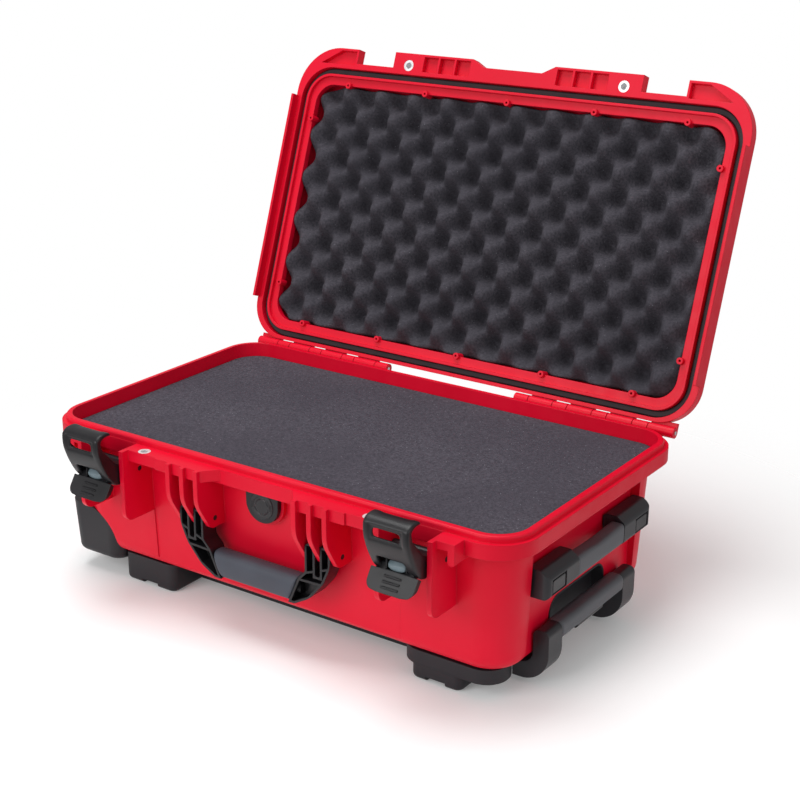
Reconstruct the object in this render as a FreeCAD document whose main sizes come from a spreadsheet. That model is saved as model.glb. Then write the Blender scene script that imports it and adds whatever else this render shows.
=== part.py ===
import FreeCAD, Part
import math
import os
import Sketcher

# Wheeled hard case with an open lid: a moulded tub and lid, latches, folding handles,
# a two-stage pull handle and two corner wheels. Lengths are in millimetres and angles in
# degrees. +X points to the pull handle's end, -Y to the latches, +Z up from the floor.

DRIVING = [
    # running clearances
    ("gap", 0.4),
    ("fit", 0.05),
    # tub
    ("floor_height", 30.0),
    ("wall", 3.0),
    ("tub_half_length", 251.0),
    ("tub_half_width", 136.5),
    ("tub_flare", 5.5),
    ("tub_corner", 34.0),
    ("tub_round", 15.0),
    ("panel_inset", 5.0),
    ("panel_half_width", 100.0),
    ("front_step", 1.2),
    # sealing lip and rim of the base
    ("lip_top", 170.0),
    ("lip_height", 6.0),
    ("lip_thick", 6.0),
    ("lip_round", 2.4),
    ("lip_overhang", 12.35),
    ("lip_half_width", 150.1),
    ("lip_corner", 33.0),
    ("flange_overhang", 19.5),
    ("flange_half_width", 157.5),
    ("flange_height", 14.0),
    ("flange_corner", 40.0),
    # front pads, latch ribs and padlock eyelets
    ("pad_inner", 42.0),
    ("pad_corner", 54.5),
    ("pad_step", 110.0),
    ("pad_depth", 172.0),
    ("eye_pad_depth", 170.2),
    ("pad_height", 11.0),
    ("end_pad_width", 16.0),
    ("end_pad_height", 7.0),
    ("horn_width", 7.0),
    ("horn_low", 144.0),
    ("horn_round", 3.4),
    ("rib_thick", 5.0),
    ("rib_depth", 178.0),
    ("rib_low", 92.0),
    ("rib_round", 10.0),
    ("latch_inset", 76.0),
    ("latch_bay", 49.0),
    ("eyelet_x", 130.5),
    ("eyelet_y", 163.6),
    ("eyelet_radius", 6.0),
    ("eyelet_bore", 3.4),
    # hinge
    ("hinge_y", 163.9),
    ("hinge_z", 165.8),
    ("hinge_start", 80.0),
    ("knuckle_period", 45.0),
    ("base_knuckle", 16.0),
    ("knuckle_side_gap", 0.7),
    ("knuckle_radius", 5.5),
    ("hinge_pin_radius", 2.0),
    ("lid_open", 109.7),
    # lid
    ("rim_overhang", 23.5),
    ("rim_height", 11.6),
    ("rim_corner", 52.0),
    ("mouth_inset", 2.0),
    ("rim_inner_half_width", 135.0),
    ("ledge_inset", 6.4),
    ("ledge_depth", 4.0),
    ("skirt_thick", 3.0),
    ("skirt_drop", 10.0),
    ("skirt_front", 118.0),
    ("skirt_rear", 115.0),
    ("groove_room", 0.6),
    ("gasket_height", 3.2),
    ("front_edge", 177.0),
    ("lobe_edge", 176.0),
    ("scoop_edge", 169.0),
    ("scoop_half_width", 35.0),
    ("scoop_slope", 15.0),
    ("pocket_edge", 158.0),
    ("pocket_wall", 2.6),
    ("pocket_depth", 6.0),
    ("pocket_width", 18.0),
    ("keeper_edge", 160.0),
    ("keeper_height", 12.4),
    ("lid_top", 228.6),
    ("dome_overhang", 13.0),
    ("dome_half_width", 149.0),
    ("dome_lean", 33.0),
    ("dome_corner", 32.0),
    ("mouth_corner", 22.0),
    ("dome_round", 12.0),
    ("boss_radius", 3.4),
    ("boss_bore", 1.2),
    ("boss_pitch", 103.0),
    ("boss_end_y", 94.5),
    # foam
    ("foam_drop", 13.6),
    ("foam_pad_thick", 12.0),
    ("foam_clearance", 0.7),
    ("crate_pitch_x", 40.0),
    ("crate_pitch_y", 46.0),
    ("crate_depth", 20.0),
    ("crate_crest_drop", 2.5),
    # front handle
    ("ear_pitch", 17.0),
    ("ear_centre", 74.0),
    ("ear_thick", 5.0),
    ("ear_depth", 176.0),
    ("ear_low", 102.0),
    ("ear_straight", 131.0),
    ("ear_bend", 30.0),
    ("ear_tip", 6.0),
    ("ear_tip_round", 8.0),
    ("handle_pivot_y", 153.0),
    ("handle_pivot_z", 111.5),
    ("handle_pin_radius", 2.5),
    ("handle_eye", 9.5),
    ("handle_front", 164.5),
    ("handle_back", 146.0),
    ("handle_low", 57.0),
    ("handle_fork_low", 92.4),
    ("handle_slot_low", 90.8),
    ("handle_shoulder", 103.0),
    ("handle_elbow_inset", 8.0),
    ("handle_elbow", 85.0),
    ("handle_heel_inset", 24.0),
    ("handle_heel", 66.5),
    ("handle_toe_inset", 41.0),
    ("handle_tip", 40.0),
    ("handle_throat_inset", 8.0),
    ("handle_throat", 84.0),
    ("handle_round", 5.4),
    ("handle_sweep", 30.0),
    ("handle_web", 2.2),
    ("handle_pocket", 12.0),
    ("grip_half_length", 40.0),
    ("grip_flare", 11.0),
    ("grip_front", 166.0),
    ("grip_back", 145.0),
    ("grip_top", 83.0),
    ("grip_round", 10.0),
    ("grip_core", 5.0),
    # pressure valve
    ("valve_width", 37.0),
    ("valve_low", 119.0),
    ("valve_front", 150.0),
    ("valve_seat", 3.0),
    ("valve_cap_radius", 8.0),
    ("valve_cap_z", 135.5),
    # latch
    ("lever_pivot_y", 156.0),
    ("lever_pivot_z", 141.0),
    ("latch_pin_radius", 2.5),
    ("lever_barrel", 5.0),
    ("claw_pivot_y", 176.0),
    ("claw_pivot_z", 140.0),
    ("claw_pin_radius", 2.0),
    ("claw_width", 46.0),
    ("claw_plate", 4.4),
    ("claw_tip_out", 8.0),
    ("claw_tip_up", 45.5),
    ("claw_tip_drop", 5.0),
    ("claw_crown_out", 21.5),
    ("claw_crown_up", 45.0),
    ("claw_crown_round", 5.0),
    ("claw_brow_out", 28.0),
    ("claw_brow_up", 38.5),
    ("claw_belly_out", 28.0),
    ("claw_belly_up", 27.0),
    ("claw_knee_out", 20.5),
    ("claw_knee_up", 9.0),
    ("claw_foot_out", 12.5),
    ("claw_foot_drop", 3.0),
    ("claw_bend", 14.0),
    ("claw_slot_width", 27.0),
    ("claw_slot_low", 28.0),
    ("claw_slot_top", 36.0),
    ("claw_notch_width", 26.0),
    ("claw_notch_top", 9.0),
    ("claw_eye", 9.6),
    ("cheek_thick", 3.0),
    ("cheek_mid_out", 10.0),
    ("cheek_mid_up", 20.0),
    ("cheek_top_out", 13.5),
    ("claw_recess", 1.0),
    ("claw_recess_rim", 4.0),
    ("lever_width", 38.6),
    ("lever_nose", 4.8),
    ("lever_arm_low", 3.5),
    ("tab_width", 48.0),
    ("tab_thick", 4.0),
    ("tab_start_out", 13.5),
    ("tab_start_drop", 6.0),
    ("tab_end_out", 24.5),
    ("tab_end_drop", 22.5),
    ("tab_ridge", 1.0),
    ("tab_ridge_width", 17.0),
    ("tab_corner", 7.0),
    ("tab_bow", 3.0),
    ("button_width", 18.0),
    ("button_front", 12.5),
    ("button_back", 6.6),
    ("button_top", 2.5),
    ("button_low", 6.5),
    ("button_travel", 1.4),
    ("button_wall", 1.4),
    # side handle
    ("side_pivot_out", 5.5),
    ("side_pivot_z", 118.0),
    ("side_pin_radius", 2.5),
    ("side_outer_out", 24.0),
    ("side_inner_out", 1.0),
    ("side_half_width", 97.0),
    ("side_low", 95.5),
    ("side_top", 122.5),
    ("side_block", 54.0),
    ("side_pin_reach", 12.0),
    ("side_round", 5.0),
    ("side_brow", 116.0),
    ("side_slope", 9.0),
    ("side_end_round", 6.0),
    ("side_grip_thick", 15.0),
    ("side_grip_low", 96.5),
    ("side_grip_top", 117.0),
    ("side_grip_round", 6.5),
    ("side_core", 6.0),
    ("side_cap_inset", 19.0),
    ("side_cap_length", 24.0),
    ("side_cap_height", 14.0),
    ("side_cap_thick", 1.5),
    ("side_cap_gap", 0.6),
    # pull handle
    ("pull_tube_y", 70.0),
    ("guide_width", 24.0),
    ("guide_height", 17.0),
    ("tube_wall", 1.2),
    ("tube_gap", 0.3),
    ("guide_start", 190.0),
    ("guide_end", 212.0),
    ("pull_outer_out", 18.0),
    ("pull_thick", 16.0),
    ("pull_bend", 28.0),
    ("pull_top", 57.0),
    ("pull_clear", 6.0),
    ("pull_cap_start", 228.0),
    ("pull_half_gap", 58.0),
    ("pull_round", 6.0),
    ("pull_core_radius", 3.0),
    ("pull_core_bite", 12.0),
    ("pull_tube_bite", 14.0),
    ("mid_start", 187.0),
    ("mid_end", 213.0),
    ("inner_start", 184.0),
    ("release_half_length", 24.0),
    ("release_thick", 10.0),
    ("release_low", 36.0),
    ("release_top", 43.3),
    ("release_travel", 2.5),
    ("bezel_half_width", 52.0),
    ("bezel_top", 72.0),
    ("bezel_depth", 14.0),
    ("bezel_thick", 2.0),
    ("bezel_round", 16.0),
    # under tray
    ("tray_low", 16.0),
    ("tray_left", 199.6),
    ("tray_right", 226.0),
    ("tray_half_width", 104.0),
    ("tray_corner", 30.0),
    ("end_half_width", 131.0),
    ("end_right", 137.0),
    ("corner_right", 239.0),
    ("corner_near", 86.0),
    ("corner_round", 22.0),
    ("foot_half_width", 130.0),
    ("foot_left_end", 133.0),
    ("foot_right_start", 150.0),
    ("foot_right_end", 204.0),
    ("foot_corner", 8.0),
    ("foot_round", 5.0),
    ("rail_width", 32.0),
    ("foot_notch_width", 21.0),
    ("foot_notch_height", 5.0),
    ("foot_notch_depth", 15.0),
    ("tray_skin", 4.0),
    ("tray_rib", 3.0),
    ("screw_radius", 2.0),
    ("screw_head_radius", 4.0),
    ("screw_head_height", 2.5),
    ("screw_y", 95.0),
    # wheels
    ("wheel_inset", 5.0),
    ("wheel_y", 95.0),
    ("wheel_z", 36.0),
    ("wheel_radius", 26.0),
    ("wheel_width", 24.0),
    ("wheel_room", 2.0),
    ("hub_radius", 17.0),
    ("axle_radius", 4.0),
    ("housing_overhang", 13.0),
    ("housing_inner", 72.0),
    ("housing_low", 18.0),
    ("housing_arch_z", 28.0),
    ("housing_arch_radius", 46.0),
    ("housing_corner", 32.0),
]

V = FreeCAD.Vector
TOUCH = 1e-6
doc = FreeCAD.newDocument("WheeledCase")


class Size:
    """A size that carries its number and the sheet expression it comes from."""

    def __init__(self, value, text):
        self.value = value
        self.text = text

    @staticmethod
    def of(other):
        if isinstance(other, Size):
            return other
        return Size(float(other), repr(float(other)))

    def join(self, other, sign, value):
        return Size(value, "(%s %s %s)" % (self.text, sign, other.text))

    def __add__(self, other):
        other = Size.of(other)
        return self.join(other, "+", self.value + other.value)

    def __radd__(self, other):
        return Size.of(other) + self

    def __sub__(self, other):
        other = Size.of(other)
        return self.join(other, "-", self.value - other.value)

    def __rsub__(self, other):
        return Size.of(other) - self

    def __mul__(self, other):
        other = Size.of(other)
        return self.join(other, "*", self.value * other.value)

    def __rmul__(self, other):
        return Size.of(other) * self

    def __truediv__(self, other):
        other = Size.of(other)
        return self.join(other, "/", self.value / other.value)

    def __neg__(self):
        return Size.of(0) - self

    def __float__(self):
        return self.value


class Sizes:
    """The sheet's sizes by name."""


def read_sheet():
    sheet = doc.addObject("Spreadsheet::Sheet", "Sizes")
    for row, (alias, value) in enumerate(DRIVING, start=1):
        cell = "A%d" % row
        sheet.set(cell, repr(value))
        sheet.setAlias(cell, alias)
    doc.recompute()
    sizes = Sizes()
    for alias, value in DRIVING:
        setattr(sizes, alias, Size(float(getattr(sheet, alias)), "Sizes." + alias))
    return sizes


S = read_sheet()
# Places that follow the length of the tub.
S.panel_half_length = S.tub_half_length - S.panel_inset
S.lip_half_length = S.tub_half_length + S.lip_overhang
S.flange_half_length = S.tub_half_length + S.flange_overhang
S.latch_centre = S.tub_half_length - S.latch_inset
S.rim_half_length = S.tub_half_length + S.rim_overhang
S.rim_inner_half_length = S.tub_half_length - S.mouth_inset
S.dome_half_length = S.tub_half_length + S.dome_overhang
S.side_pivot_x = S.panel_half_length + S.side_pivot_out
S.side_outer = S.panel_half_length + S.side_outer_out
S.side_inner = S.panel_half_length + S.side_inner_out
S.pull_outer = S.panel_half_length + S.pull_outer_out
S.wheel_x = S.tub_half_length - S.wheel_inset
S.housing_left = S.tub_half_length + S.housing_overhang
S.housing_arch_x = S.wheel_x
nodes = []


def bind(thing, path, size):
    thing.setExpression(path, Size.of(size).text)


def place(thing, x, y, z):
    for axis, size in zip("xyz", (x, y, z)):
        bind(thing, ".Placement.Base." + axis, size)


def lean(rise, run):
    """Angle of a wall that moves out by rise over a height of run."""
    angle = math.degrees(math.atan(float(rise) / float(run)))
    return Size(angle, "atan(%s / %s)" % (Size.of(rise).text, Size.of(run).text))


def side(sign, near, far):
    """Span between two distances from the middle, on the chosen side."""
    return (near, far) if sign > 0 else (-far, -near)


def span_of(middle, width):
    """Span of a stated width about a middle."""
    return (middle - width / 2, middle + width / 2)


def block(name, x, y, z):
    box = doc.addObject("Part::Box", name)
    for prop, span in (("Length", x), ("Width", y), ("Height", z)):
        bind(box, prop, span[1] - span[0])
    place(box, x[0], y[0], z[0])
    return box


TURN = {
    "X": FreeCAD.Rotation(V(0, 1, 0), 90),
    "Y": FreeCAD.Rotation(V(1, 0, 0), -90),
    "Z": FreeCAD.Rotation(),
}


def rod(name, axis, radius, span, across):
    """Cylinder along an axis, over a span, at the two other coordinates."""
    cylinder = doc.addObject("Part::Cylinder", name)
    bind(cylinder, "Radius", radius)
    bind(cylinder, "Height", span[1] - span[0])
    cylinder.Placement = FreeCAD.Placement(V(), TURN[axis])
    first, second = across
    base = {"X": (span[0], first, second), "Y": (first, span[0], second), "Z": (first, second, span[0])}
    place(cylinder, *base[axis])
    return cylinder


def draw(sketch, points):
    """Closed outline through the points, each held at its own bound coordinates."""
    count = len(points)
    for first, second in zip(points, points[1:] + points[:1]):
        start = V(float(first[0]), float(first[1]), 0)
        end = V(float(second[0]), float(second[1]), 0)
        sketch.addGeometry(Part.LineSegment(start, end))
    for line in range(count):
        sketch.addConstraint(Sketcher.Constraint("Coincident", line, 2, (line + 1) % count, 1))
    for line, point in enumerate(points):
        for kind, size in zip(("DistanceX", "DistanceY"), point):
            held = sketch.addConstraint(Sketcher.Constraint(kind, -1, 1, line, 1, float(size)))
            bind(sketch, "Constraints[%d]" % held, size)


FACING = {
    "XY": FreeCAD.Rotation(),
    "XZ": FreeCAD.Rotation(V(1, 0, 0), 90),
    "YZ": FreeCAD.Rotation(V(1, 1, 1), 120),
}


def prism(name, plane, points, span, rounds=()):
    """Outline drawn on a plane and carried over a span; rounds gives (point, radius) pairs."""
    sketch = doc.addObject("Sketcher::SketchObject", name + "_outline")
    sketch.Placement = FreeCAD.Placement(V(), FACING[plane])
    offset = {"XY": (0, 0, span[0]), "XZ": (0, span[1], 0), "YZ": (span[0], 0, 0)}
    place(sketch, *offset[plane])
    draw(sketch, points)
    solid = doc.addObject("Part::Extrusion", name)
    solid.Base = sketch
    solid.DirMode = "Normal"
    solid.Solid = True
    bind(solid, "LengthFwd", span[1] - span[0])
    if not rounds:
        return solid
    doc.recompute()
    corners = {}
    for index, radius in rounds:
        corner = V(float(points[index][0]), float(points[index][1]), 0)
        local = FreeCAD.Placement(V(), FACING[plane])
        corners[index] = (local.multVec(corner), float(radius))
    normal = FACING[plane].multVec(V(0, 0, 1))
    edges = []
    for number, edge in enumerate(solid.Shape.Edges, start=1):
        along = edge.Vertexes[-1].Point - edge.Vertexes[0].Point
        if along.cross(normal).Length > TOUCH:
            continue
        for point, radius in corners.values():
            if (edge.Vertexes[0].Point - point).cross(normal).Length < TOUCH:
                edges.append((number, radius, radius))
    rounded = doc.addObject("Part::Fillet", name + "_rounded")
    rounded.Base = solid
    rounded.Edges = edges
    return rounded


def plate(name, x, y, z, corner, draft=None, low_round=None, high_round=None):
    """Rounded slab or tapered tub: a drawn rectangle, padded upwards, with rounded edges."""
    body = doc.addObject("PartDesign::Body", name)
    sketch = body.newObject("Sketcher::SketchObject", name + "_outline")
    ground = [plane for plane in body.Origin.OriginFeatures if plane.Role == "XY_Plane"][0]
    sketch.AttachmentSupport = [(ground, "")]
    sketch.MapMode = "FlatFace"
    bind(sketch, ".AttachmentOffset.Base.z", z[0])
    draw(sketch, [(x[0], y[0]), (x[1], y[0]), (x[1], y[1]), (x[0], y[1])])
    pad = body.newObject("PartDesign::Pad", name + "_pad")
    pad.Profile = sketch
    bind(pad, "Length", z[1] - z[0])
    if draft is not None:
        bind(pad, "TaperAngle", draft)
    doc.recompute()
    low, high = float(z[0]), float(z[1])
    steps = [("corners", corner, lambda edge: edge.BoundBox.ZLength > (high - low) / 2)]
    if low_round is not None:
        steps.append(("low", low_round, lambda edge: edge.BoundBox.ZMax < low + TOUCH))
    if high_round is not None:
        steps.append(("high", high_round, lambda edge: edge.BoundBox.ZMin > high - TOUCH))
    base = pad
    for suffix, radius, chosen in steps:
        fillet = body.newObject("PartDesign::Fillet", "%s_%s" % (name, suffix))
        names = ["Edge%d" % n for n, edge in enumerate(base.Shape.Edges, start=1) if chosen(edge)]
        fillet.Base = (base, names)
        bind(fillet, "Radius", radius)
        doc.recompute()
        base = fillet
    return body


def fuse(name, shapes):
    whole = doc.addObject("Part::MultiFuse", name)
    whole.Shapes = shapes
    return whole


def cut(name, base, tools):
    result = doc.addObject("Part::Cut", name)
    result.Base = base
    result.Tool = tools[0] if len(tools) == 1 else fuse(name + "_tools", tools)
    return result


def common(name, shapes):
    result = doc.addObject("Part::MultiCommon", name)
    result.Shapes = shapes
    return result


def soften(name, base, radius, chosen):
    """Round the edges that the test picks."""
    doc.recompute()
    rounded = doc.addObject("Part::Fillet", name)
    rounded.Base = base
    numbers = [n for n, edge in enumerate(base.Shape.Edges, start=1) if chosen(edge)]
    rounded.Edges = [(n, float(radius), float(radius)) for n in numbers]
    return rounded


def node(label, thing):
    thing.Label = label
    nodes.append(thing)
    return thing


def group(label, things):
    """Several separate solids that share one node."""
    compound = doc.addObject("Part::Compound", label)
    compound.Links = things
    return node(label, compound)


# Heights and spans that several pieces share.
flange_top = S.lip_top - S.lip_height
flange_low = flange_top - S.flange_height
ledge_top = flange_low + S.wall
draft = lean(S.tub_flare, flange_low - S.floor_height)
both = (-1, 1)
ends = (("left", -1), ("right", 1))
rib_near = S.latch_centre - S.latch_bay / 2 - S.rib_thick
rib_far = S.latch_centre + S.latch_bay / 2
hinge_line = (S.hinge_y, S.hinge_z)
KNUCKLES = 4


def corner_prism(name, sign, grow):
    """Room for a wheel housing: a block with a round arch over the wheel."""
    arch_x = -S.housing_arch_x
    reach = S.housing_arch_radius + grow
    block_span = side(sign, S.housing_inner - grow, S.flange_half_width)
    left = -S.flange_half_length
    low = S.housing_low - S.wall
    top = S.housing_arch_z + reach
    right = arch_x + reach
    points = [(left, low), (right, low), (right, top), (left, top)]
    return prism(name, "XZ", points, block_span, [(2, reach - S.gap)])


# Moulded base: a drafted tub with a stiff flange, a sealing lip, ribs for the latches,
# ears for the front handle and knuckles for the hinge.
def base_shell():
    tub_x = (-S.tub_half_length, S.tub_half_length)
    tub_y = (-S.tub_half_width, S.tub_half_width)
    tub = plate("tub", tub_x, tub_y, (S.floor_height, flange_low), S.tub_corner, draft, S.tub_round)
    flange_x = (-S.flange_half_length, S.flange_half_length)
    flange_y = (-S.flange_half_width, S.flange_half_width)
    flange = plate("base_flange", flange_x, flange_y, (flange_low, flange_top), S.flange_corner)
    lip_x = S.lip_half_length + S.lip_thick / 2
    lip_y = S.lip_half_width + S.lip_thick / 2
    lip_corner = S.lip_corner + S.lip_thick / 2
    lip_z = (flange_top, S.lip_top)
    lip = plate("base_lip", (-lip_x, lip_x), (-lip_y, lip_y), lip_z, lip_corner, None, None, S.lip_round)
    step_low, step_high = S.tub_half_width - S.front_step, S.tub_half_width + S.tub_flare - S.front_step
    step = [
        (-step_low, S.floor_height),
        (-step_high, flange_low),
        (-S.flange_half_width, flange_low),
        (-S.flange_half_width, S.floor_height),
    ]
    stepped = cut("tub_stepped", tub, [prism("front_step", "YZ", step, (-rib_near, rib_near))])
    solids = [stepped, flange, lip]
    for name, sign in ends:
        solids += front_pads(name, sign)
        for place_name, start in (("near", rib_near), ("far", rib_far)):
            outline = [
                (-S.rib_depth, flange_top),
                (-S.rib_depth, S.rib_low),
                (-S.tub_half_width + S.wall / 2, S.rib_low),
                (-S.tub_half_width + S.wall / 2, flange_top),
            ]
            rib_span = side(sign, start, start + S.rib_thick)
            rounds = [(1, S.rib_round)]
            solids.append(prism("%s_%s_rib" % (name, place_name), "YZ", outline, rib_span, rounds))
        for step in (-1, 0, 1):
            centre = S.ear_centre + step * S.ear_pitch
            ear_span = side(sign, centre - S.ear_thick / 2, centre + S.ear_thick / 2)
            solids.append(handle_ear("%s_ear_%d" % (name, step + 2), ear_span))
    seat_half = S.valve_width / 2 + S.valve_seat
    seat_low = S.valve_low - S.valve_seat
    seat_outline = [
        (-seat_half, flange_low),
        (-seat_half, seat_low),
        (seat_half, seat_low),
        (seat_half, flange_low),
    ]
    seat_front = -S.tub_half_width - S.tub_flare - S.valve_seat
    seat_rounds = [(1, seat_half - S.gap), (2, seat_half - S.gap)]
    seat_span = (seat_front, -S.tub_half_width + S.wall / 2)
    solids.append(prism("valve_seat_pad", "XZ", seat_outline, seat_span, seat_rounds))
    for name, sign in ends:
        for index in range(KNUCKLES):
            start = S.hinge_start + index * S.knuckle_period
            knuckle_x = side(sign, start, start + S.base_knuckle)
            solids += knuckle("%s_base_knuckle_%d" % (name, index), knuckle_x, -1)
    outer = fuse("base_outer", solids)

    inset = S.wall
    cavity_x = S.tub_half_length - inset
    cavity_y = S.tub_half_width - inset
    cavity_z = (S.floor_height + S.wall, ledge_top)
    cavity_corner = S.tub_corner - inset
    cavity_round = S.tub_round - inset
    cavity = plate("tub_inside", (-cavity_x, cavity_x), (-cavity_y, cavity_y), cavity_z,
                   cavity_corner, draft, cavity_round)
    kept = [corner_prism("corner_wall_%d" % (sign + 2), sign, S.wall) for sign in both]
    kept.append(block("panel_wall", (S.panel_half_length - S.wall, S.flange_half_length),
                      (-S.panel_half_width - S.wall, S.panel_half_width + S.wall), (S.tray_low, flange_low)))
    kept.append(bezel_room("bezel_wall", S.wall))
    hollow = cut("tub_hollow", cavity, kept)
    mouth_x = S.lip_half_length - S.lip_thick / 2
    mouth_y = S.lip_half_width - S.lip_thick / 2
    mouth_z = (ledge_top, S.lip_top + S.lip_height)
    mouth_corner = S.lip_corner - S.lip_thick / 2
    mouth = plate("tub_mouth", (-mouth_x, mouth_x), (-mouth_y, mouth_y), mouth_z, mouth_corner)
    tools = [hollow, mouth]
    tools += [corner_prism("corner_room_%d" % (sign + 2), sign, Size.of(0)) for sign in both]
    tools.append(block("panel_room", (S.panel_half_length, S.flange_half_length),
                       (-S.panel_half_width, S.panel_half_width), (S.tray_low, flange_low)))
    tools.append(bezel_room("bezel_recess", Size.of(0)))
    for name, sign in ends:
        bay = side(sign, rib_near + S.rib_thick, rib_far)
        lip_front = S.lip_half_width + S.lip_thick / 2
        bay_y = (-S.rib_depth, -lip_front - S.gap)
        tools.append(block(name + "_latch_bay", bay, bay_y, (flange_low, flange_top)))
        pin_span = side(sign, rib_near, rib_far + S.rib_thick)
        tools.append(rod(name + "_latch_pin_hole", "X", S.latch_pin_radius, pin_span,
                         (-S.lever_pivot_y, S.lever_pivot_z)))
        reach = S.ear_pitch + S.ear_thick / 2
        ear_span = side(sign, S.ear_centre - reach, S.ear_centre + reach)
        tools.append(rod(name + "_handle_pin_hole", "X", S.handle_pin_radius, ear_span,
                         (-S.handle_pivot_y, S.handle_pivot_z)))
        eye_z = (flange_top - S.pad_height, flange_top)
        eye_at = (sign * S.eyelet_x, -S.eyelet_y)
        tools.append(rod(name + "_eye_hole", "Z", S.eyelet_radius, eye_z, eye_at))
        hinge_span = side(sign, S.hinge_start, S.hinge_start + KNUCKLES * S.knuckle_period)
        tools.append(rod(name + "_base_hinge_bore", "X", S.hinge_pin_radius, hinge_span, hinge_line))
        pin_y = side(sign, S.side_half_width, S.panel_half_width + S.wall - S.gap)
        side_line = (S.side_pivot_x, S.side_pivot_z)
        tools.append(rod(name + "_side_pin_hole", "Y", S.side_pin_radius, pin_y, side_line))
    for index, (x, y) in enumerate(screw_places()):
        tools.append(rod("floor_screw_hole_%d" % index, "Z", S.screw_radius,
                         (S.floor_height, S.floor_height + S.wall - S.gap), (x, y)))
    node("base_shell", cut("base_shell", outer, tools))


def front_pads(name, sign):
    """Pads under the lid's front edge: a long one by the handle and a short one with a horn."""
    back = -S.lip_half_width
    far = rib_near + S.rib_thick
    outline = [
        (S.pad_inner, back),
        (S.pad_inner, -S.flange_half_width),
        (S.pad_corner, -S.pad_depth),
        (S.pad_step, -S.pad_depth),
        (S.pad_step, -S.eye_pad_depth),
        (far, -S.eye_pad_depth),
        (far, back),
    ]
    pad_z = (flange_top - S.pad_height, flange_top)
    pads = [prism(name + "_front_pad", "XY", [(sign * x, y) for x, y in outline], pad_z)]
    pad_y = (-S.pad_depth, back)
    end = rib_far + S.end_pad_width
    end_z = (flange_top - S.end_pad_height, flange_top)
    pads.append(block(name + "_end_pad", side(sign, rib_far, end), pad_y, end_z))
    horn = [
        (sign * end, flange_top),
        (sign * end, S.horn_low),
        (sign * (end + S.horn_width), S.horn_low),
        (sign * (end + S.horn_width), flange_top),
    ]
    pads.append(prism(name + "_horn", "XZ", horn, pad_y, [(1, S.horn_round), (2, S.horn_round)]))
    return pads


def handle_ear(name, span):
    """Ear of the front handle: straight at the top, swept back to the wall below."""
    back = -S.tub_half_width + S.wall / 2
    front = -S.ear_depth
    tip = -S.handle_pivot_y - S.ear_tip
    outline = [
        (front, flange_top),
        (front, S.ear_straight),
        (tip, S.ear_low),
        (back, S.ear_low),
        (back, flange_top),
    ]
    return prism(name, "YZ", outline, span, [(1, S.ear_bend), (2, S.ear_tip_round)])


def knuckle(name, span, direction):
    """Hinge knuckle with the web that ties it to its rim; direction is -1 below, +1 above."""
    barrel = rod(name, "X", S.knuckle_radius, span, hinge_line)
    web_y = (S.flange_half_width - S.wall, S.hinge_y)
    if direction < 0:
        web_z = (S.hinge_z - S.knuckle_radius, S.hinge_z - S.hinge_pin_radius)
    else:
        web_z = (S.hinge_z + S.hinge_pin_radius, S.hinge_z + S.knuckle_radius)
    return [barrel, block(name + "_web", span, web_y, web_z)]


def bezel_room(name, grow):
    """Recess behind the pull handle's grip, with round upper corners."""
    half = S.bezel_half_width + grow
    top = S.bezel_top + grow
    low = S.floor_height - S.wall
    outline = [(-half, low), (half, low), (half, top), (-half, top)]
    back = S.panel_half_length - S.bezel_depth - grow
    span = (back, S.flange_half_length)
    return prism(name, "YZ", outline, span, [(2, S.bezel_round + grow), (3, S.bezel_round + grow)])


def screw_places():
    left = -(S.tray_left + S.foot_left_end) / 2
    right = (S.foot_right_start + S.foot_right_end) / 2
    x_places = (left, Size.of(0), right)
    return [(x, sign * S.screw_y) for x in x_places for sign in both]


# Foam: a cubed block that fills the tub to just under the lip, on a plain sheet.
def base_foam():
    loose = S.foam_clearance
    floor = S.floor_height + S.wall
    pad_top = floor + S.foam_pad_thick
    half_x = S.tub_half_length - S.wall - loose
    half_y = S.tub_half_width - S.wall - loose
    corner = S.tub_corner - S.wall - loose
    foam_top = S.lip_top - S.foam_drop
    edge = S.tub_round - S.wall - loose
    whole = plate("foam_whole", (-half_x, half_x), (-half_y, half_y), (floor, foam_top), corner, draft, edge)
    mouth_x = S.lip_half_length - S.lip_thick / 2 - loose
    mouth_y = S.lip_half_width - S.lip_thick / 2 - loose
    brim_corner = S.lip_corner - S.lip_thick / 2 - loose
    brim = plate("foam_brim", (-mouth_x, mouth_x), (-mouth_y, mouth_y), (ledge_top, foam_top), brim_corner)
    grow = S.wall + loose
    rooms = [corner_prism("foam_corner_%d" % (sign + 2), sign, grow) for sign in both]
    rooms.append(block("foam_panel", (S.panel_half_length - grow, S.flange_half_length),
                       (-S.panel_half_width - grow, S.panel_half_width + grow), (S.tray_low, ledge_top)))
    rooms.append(bezel_room("foam_bezel", grow))
    filled = cut("foam_filled", fuse("foam_joined", [whole, brim]), rooms)
    reach = (-S.flange_half_length, S.flange_half_length)
    deep = (-S.flange_half_width, S.flange_half_width)
    node("base_foam", common("base_foam", [filled, block("foam_upper", reach, deep, (pad_top, S.lip_top))]))
    lower = block("foam_lower", reach, deep, (floor, pad_top))
    node("base_foam_pad", common("base_foam_pad", [filled, lower]))


# Steel padlock bushes, flush with the top of the front pads.
def eyelets(label, z):
    bushes = []
    for name, sign in ends:
        place_at = (sign * S.eyelet_x, -S.eyelet_y)
        outer = rod("%s_%s_bush" % (label, name), "Z", S.eyelet_radius, z, place_at)
        inner = rod("%s_%s_bore" % (label, name), "Z", S.eyelet_bore, z, place_at)
        bushes.append(cut("%s_%s" % (label, name), outer, [inner]))
    return group(label, bushes)


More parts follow.
